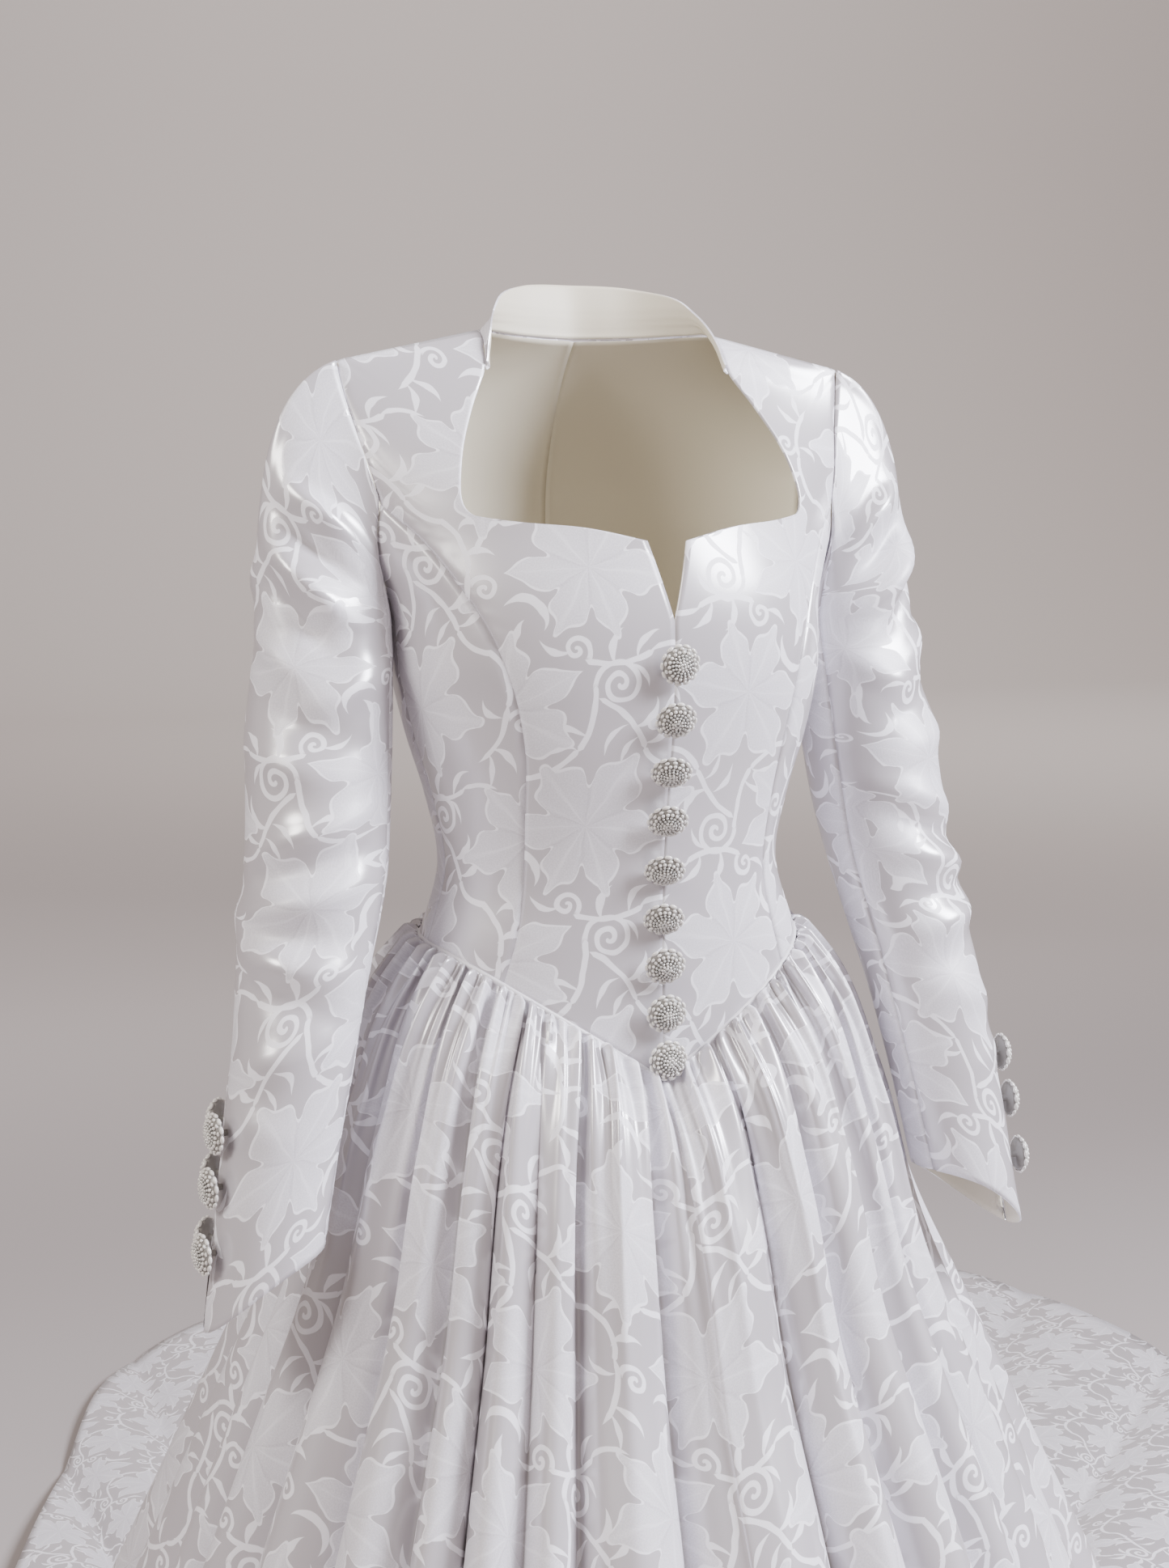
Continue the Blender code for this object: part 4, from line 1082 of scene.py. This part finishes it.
class DRESS_OT_sleeves(bpy.types.Operator):
    """Builds the sleeves: a cap that springs from the armhole and turns down, then rings round the arm"""

    bl_idname = "dress.sleeves"
    bl_label = "Sleeves"

    def execute(self, context):
        settings = context.scene.dress_cloth
        ring = refine(armhole_ring())
        seam = (CAP_BACK_STEPS + len(ARMHOLE_FRONT) - 1) * FINE
        columns = len(ring)
        top_angle = sleeve_angles(np.array(SLEEVE_TOP), columns, seam)
        arm_top, _ = sleeve_point(top_angle, np.full(columns, SLEEVE_TOP))
        share = ((1 + np.cos(top_angle)) / 2)[:, None]
        leave = unit(share * np.array([1, 0, CAP_RISE]) + (1 - share) * np.array([0.12, 0, -1]))
        start = ring + SEAM * leave
        reach = np.linalg.norm(arm_top - start, axis=1, keepdims=True)
        t = np.linspace(0, 1, CAP_ROWS + 1)[:, None, None]
        cap = (
            start * (1 + 2 * t) * (1 - t) ** 2
            + leave * reach * t * (1 - t) ** 2
            + arm_top * t**2 * (3 - 2 * t)
            + np.array([0, 0, -1.0]) * reach * t**2 * (t - 1)
        )
        part = (np.arange(1, ARM_ROWS + 1) / ARM_ROWS)[:, None]
        height = np.full((ARM_ROWS, columns), SLEEVE_TOP)
        for _ in range(4):
            angle = np.stack([sleeve_angles(row.mean(), columns, seam) for row in height])
            height = SLEEVE_TOP + (cuff_hem(angle) - SLEEVE_TOP) * part
        arm, _ = sleeve_point(angle, height)
        outer = np.concatenate([cap, arm])
        normals = self.normals_of(outer)
        turned = np.concatenate([np.broadcast_to(top_angle, cap.shape[:2]), angle])
        outer = outer + normals * self.creases(turned, outer[..., 2], settings.crease)[..., None]
        normals = self.normals_of(outer)
        opened = ease((SLIT_TOP - outer[..., 2]) / (SLIT_TOP - CUFF_TIP))
        upper, under = slice(0, seam + 1), slice(seam, columns)
        upper_face = draw_in(outer[:, upper], ("left", "right"), half=0.0)
        under_face = draw_in(outer[:, under], ("left", "right"), half=0.0)
        back_step = unit(under_face[:, -2] - under_face[:, -1])
        under_face[:, -1] += SLIT_SPREAD * opened[:, -1:] * back_step
        under_face[-1, -1, 2] += UNDER_CUFF_SHORT * opened[-1, -1]
        for name, face, normal, shift in (
            ("sleeve_upper", upper_face, normals[:, upper], (0.012, 0.030)),
            ("sleeve_under", under_face, normals[:, under], (0.060, 0.100)),
        ):
            cloth = flatten(face, face.shape[1] // 2) * np.array([1, -1.0])
            face = sewn(face, normal, ("left", "right"))
            pair(name, name, face, normal, cloth, finish(DAMASK), settings.thick, finish(LINING),
                 np.array(shift))
        return {"FINISHED"}

    def normals_of(self, outer):
        normals = unit(np.cross(np.gradient(outer, axis=1), np.gradient(outer, axis=0)))
        normals[:, 0] = normals[:, -1] = unit(normals[:, 0] + normals[:, -1])
        return normals

    def creases(self, angle, height, depth):
        """Soft ridges listed by (degrees round the arm, millimetres down), and slow ripples."""
        degrees = (np.degrees(angle) + 180) % 360 - 180
        down = -height * 1000
        total = np.zeros(angle.shape)
        for centre, tilt, length, width, share in SLEEVE_FOLDS:
            total += share * bump(degrees, down, centre, tilt, length, width)
        total += 0.22 * drift(np.radians(degrees) * 3, down / 17, 0.7) * ease((down - 60) / 80)
        fade = ease((down - 8) / 50) * ease((620 - down) / 60)
        return depth * total * fade


class DRESS_OT_piping(bpy.types.Operator):
    """Builds the corded piping: a circle swept along the waist seam"""

    bl_idname = "dress.piping"
    bl_label = "Waist piping"

    def execute(self, context):
        angle = np.radians(np.arange(-180, 180, 1.5))
        height = waist(angle)
        path = form(angle, height) - form_normal(angle, height) * PIPING_SUNK
        points, faces = tube(path, PIPING_RADIUS, 12, closed=True)
        made = joined("waist_piping_cord", [(points, faces[:, ::-1], 0)], [finish(CORD)])
        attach(made, "root")
        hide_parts("waist_piping")
        return {"FINISHED"}


class DRESS_OT_skirt(bpy.types.Operator):
    """Builds the gathered skirt: the seam's outline swept down to the hem, with folds and gathers across it"""

    bl_idname = "dress.skirt"
    bl_label = "Skirt"

    def execute(self, context):
        settings = context.scene.dress_cloth
        rows = np.linspace(1, 0, SKIRT_ROWS) ** 1.5
        for number, (name, first, last) in enumerate(GORES):
            turns = np.linspace(first, last, SKIRT_COLUMNS)
            turn, down = np.meshgrid(turns, rows)
            base, travel = self.surface(turn, down)
            step = 0.25
            around = self.surface(turn + step, down)[0] - self.surface(turn - step, down)[0]
            low, high = np.maximum(down - 0.002, 0), np.minimum(down + 0.002, 1)
            slope = self.surface(turn, low)[0] - self.surface(turn, high)[0]
            normals = unit(np.cross(around, slope))
            outer = base + normals * gathers(turn, travel)[..., None]
            outer = draw_in(outer, ("left", "right"), half=0.0)
            outer[..., 2] = np.maximum(outer[..., 2], FLOOR + settings.thick)
            cloth = fan(base[::-1], int(0.62 * SKIRT_ROWS))[::-1]
            made = shell(name.replace("skirt", "gore"), outer, normals, cloth + SKIRT_WEAVE[number],
                         finish(DAMASK), settings.thick, floor=FLOOR)
            place_sheet(made, name)
        return {"FINISHED"}

    def surface(self, turn, down):
        turn = (turn + 180) % 360 - 180
        turn = np.where(np.isclose(turn, -180), -179.999, turn)
        points, _, travel = skirt(turn, down)
        points[..., 2] = np.maximum(points[..., 2], FLOOR + 0.001)
        return points, travel


class DRESS_OT_buttons(bpy.types.Operator):
    """Builds the beaded buttons: a domed base, rings of pearls, long pearl loops and seed beads"""

    bl_idname = "dress.buttons"
    bl_label = "Buttons"

    def execute(self, context):
        model = self.model()
        heights = np.linspace(FRONT_BUTTON_TOP, FRONT_BUTTON_BOTTOM, FRONT_BUTTONS)
        for number, z in enumerate(heights, start=1):
            height = on_form(0.0, z)[1]
            place, normal = form(np.array(0.0), height), form_normal(np.array(0.0), height)
            normal = unit(normal) - math.tan(math.radians(BUTTON_HANG[number - 1])) * np.array(BUTTON_SWING)
            self.button(model, f"button_front_{number}", place, normal, 37.0 * number)
        for edge, turned in CUFF_BUTTON_ANGLES:
            for number, z in enumerate(CUFF_BUTTONS, start=1):
                place, normal = sleeve_point(np.array(math.radians(turned)), np.array(z))
                self.button(model, f"button_cuff_left_{edge}_{number}", place, normal, 53.0 * number)
                self.button(model, f"button_cuff_right_{edge}_{number}", place * MIRROR, normal * MIRROR,
                            71.0 * number)
        return {"FINISHED"}

    def model(self):
        """One button about its own axis: (vertices, faces, finish number) parts."""
        turn = np.arange(28) * 2 * math.pi / 28
        ring = np.stack([np.cos(turn), np.sin(turn), 0 * turn], -1)
        profile = np.array(BUTTON_DOME)
        base = (profile[:, :1, None] * ring[None] + np.array([0, 0, 1.0]) * profile[:, 1:, None]).reshape(-1, 3)
        parts = [(base, ring_faces(len(profile), 28), 0)]
        points, faces, caps = ball()
        for count, radius, rise, size, flat, kind in BUTTON_RINGS:
            turn = (np.arange(count) + 0.37 * rise * 1000) * 2 * math.pi / max(count, 1)
            middle = np.stack([radius * np.cos(turn), radius * np.sin(turn), 0 * turn + rise], -1)
            for at, spin in zip(middle, turn):
                scaled = points * np.array([size * flat, size, size])
                c, s = math.cos(spin + math.pi / 2), math.sin(spin + math.pi / 2)
                spun = scaled @ np.array([[c, s, 0], [-s, c, 0], [0, 0, 1]]) + at
                parts.append((spun, np.concatenate([faces, caps]), kind))
        return parts

    def button(self, model, name, place, normal, spin):
        normal = normal / np.linalg.norm(normal)
        side = unit(np.cross([0.0, 0.0, 1.0], normal))
        up = np.cross(normal, side)
        c, s = math.cos(math.radians(spin)), math.sin(math.radians(spin))
        frame_of = np.stack([c * side + s * up, c * up - s * side, normal])
        parts = [(points @ frame_of + place, faces, kind) for points, faces, kind in model]
        made = joined(f"beaded_{name}", parts, [finish(BASE), finish(PEARL), finish(SEED)])
        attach(made, "root")
        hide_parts(name)


class DRESS_OT_stage(bpy.types.Operator):
    """Sets a pale paper sweep with painted floor shade, three soft lights, an even sky and the camera"""

    bl_idname = "dress.stage"
    bl_label = "Stage"

    def execute(self, context):
        settings = context.scene.dress_stage
        turn = np.radians(np.linspace(0, 90, 24))
        bend = np.stack([SWEEP_BEND * np.sin(turn), SWEEP_BEND * (1 - np.cos(turn))], -1)
        line = np.concatenate([[[-SWEEP_FRONT, 0]], bend + [SWEEP_BACK - SWEEP_BEND, 0], [[SWEEP_BACK, SWEEP_HIGH]]])
        x = np.array([-SWEEP_SIDE, SWEEP_SIDE])
        points = np.stack([np.broadcast_to(x, (len(line), 2)), np.broadcast_to(line[:, :1], (len(line), 2)),
                           np.broadcast_to(line[:, 1:] + FLOOR - 0.0005, (len(line), 2))], -1)
        index = np.arange(len(line) * 2).reshape(-1, 2)
        faces = np.stack([index[:-1, 0], index[:-1, 1], index[1:, 1], index[1:, 0]], -1)
        sweep = joined("sweep", [(points.reshape(-1, 3), faces, 0)], [finish(PAPER)])
        self.light("key", (2.4, -1.6, 1.7), (0, 0.1, -0.5), settings.key, 1.4, "#F3F5FF")
        self.light("fill", (-2.6, -0.9, 1.5), (0, 0, -0.3), settings.fill, 1.0, "#FFFBF6")
        self.light("wall", (4.5, 7.5, 6.0), (10.0, 15.5, 2.0), settings.wall, 4.0, "#FFFDFA")
        world = context.scene.world or bpy.data.worlds.new("World")
        context.scene.world = world
        world.use_nodes = True
        world.node_tree.nodes["Background"].inputs[0].default_value = linear("#FFF0E8")
        world.node_tree.nodes["Background"].inputs[1].default_value = SKY
        camera = bpy.data.cameras.new("camera")
        camera.lens = settings.lens
        camera.sensor_width = 36.0
        held = bpy.data.objects.new("camera", camera)
        held.location = CAMERA_AT
        held.rotation_euler = [math.radians(value) for value in CAMERA_TURN]
        context.scene.collection.objects.link(held)
        context.scene.camera = held
        return {"FINISHED"}

    def light(self, name, place, target, power, size, colour):
        lamp = bpy.data.lights.new(name, "AREA")
        lamp.energy, lamp.size, lamp.shape = power, size, "SQUARE"
        lamp.color = linear(colour)[:3]
        held = bpy.data.objects.new(name, lamp)
        held.location = place
        away = np.array(place) - np.array(target)
        held.rotation_euler = (
            math.atan2(math.hypot(away[0], away[1]), away[2]), 0, math.atan2(away[0], -away[1]),
        )
        bpy.context.scene.collection.objects.link(held)


class DRESS_PT_panel(bpy.types.Panel):
    """The dress's settings, and a button for each group of pieces"""

    bl_idname = "DRESS_PT_panel"
    bl_label = "Damask wedding dress"
    bl_space_type = "VIEW_3D"
    bl_region_type = "UI"
    bl_category = "Dress"

    def draw(self, context):
        for settings in (context.scene.dress_cloth, context.scene.dress_stage):
            for name in settings.bl_rna.properties.keys():
                if name not in ("name", "rna_type"):
                    self.layout.prop(settings, name)
        for operator in OPERATORS:
            self.layout.operator(operator.bl_idname)


OPERATORS = (
    DRESS_OT_bodice,
    DRESS_OT_collar,
    DRESS_OT_sleeves,
    DRESS_OT_piping,
    DRESS_OT_skirt,
    DRESS_OT_buttons,
    DRESS_OT_stage,
)
CLASSES = (DressCloth, DressStage, *OPERATORS, DRESS_PT_panel)


def register():
    for kind in CLASSES:
        bpy.utils.register_class(kind)
    bpy.types.Scene.dress_cloth = bpy.props.PointerProperty(type=DressCloth)
    bpy.types.Scene.dress_stage = bpy.props.PointerProperty(type=DressStage)


def unregister():
    del bpy.types.Scene.dress_stage
    del bpy.types.Scene.dress_cloth
    for kind in reversed(CLASSES):
        bpy.utils.unregister_class(kind)


def main():
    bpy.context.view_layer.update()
    register()
    for operator in OPERATORS:
        group, name = operator.bl_idname.split(".")
        getattr(getattr(bpy.ops, group), name)()


if __name__ == "__main__":
    main()
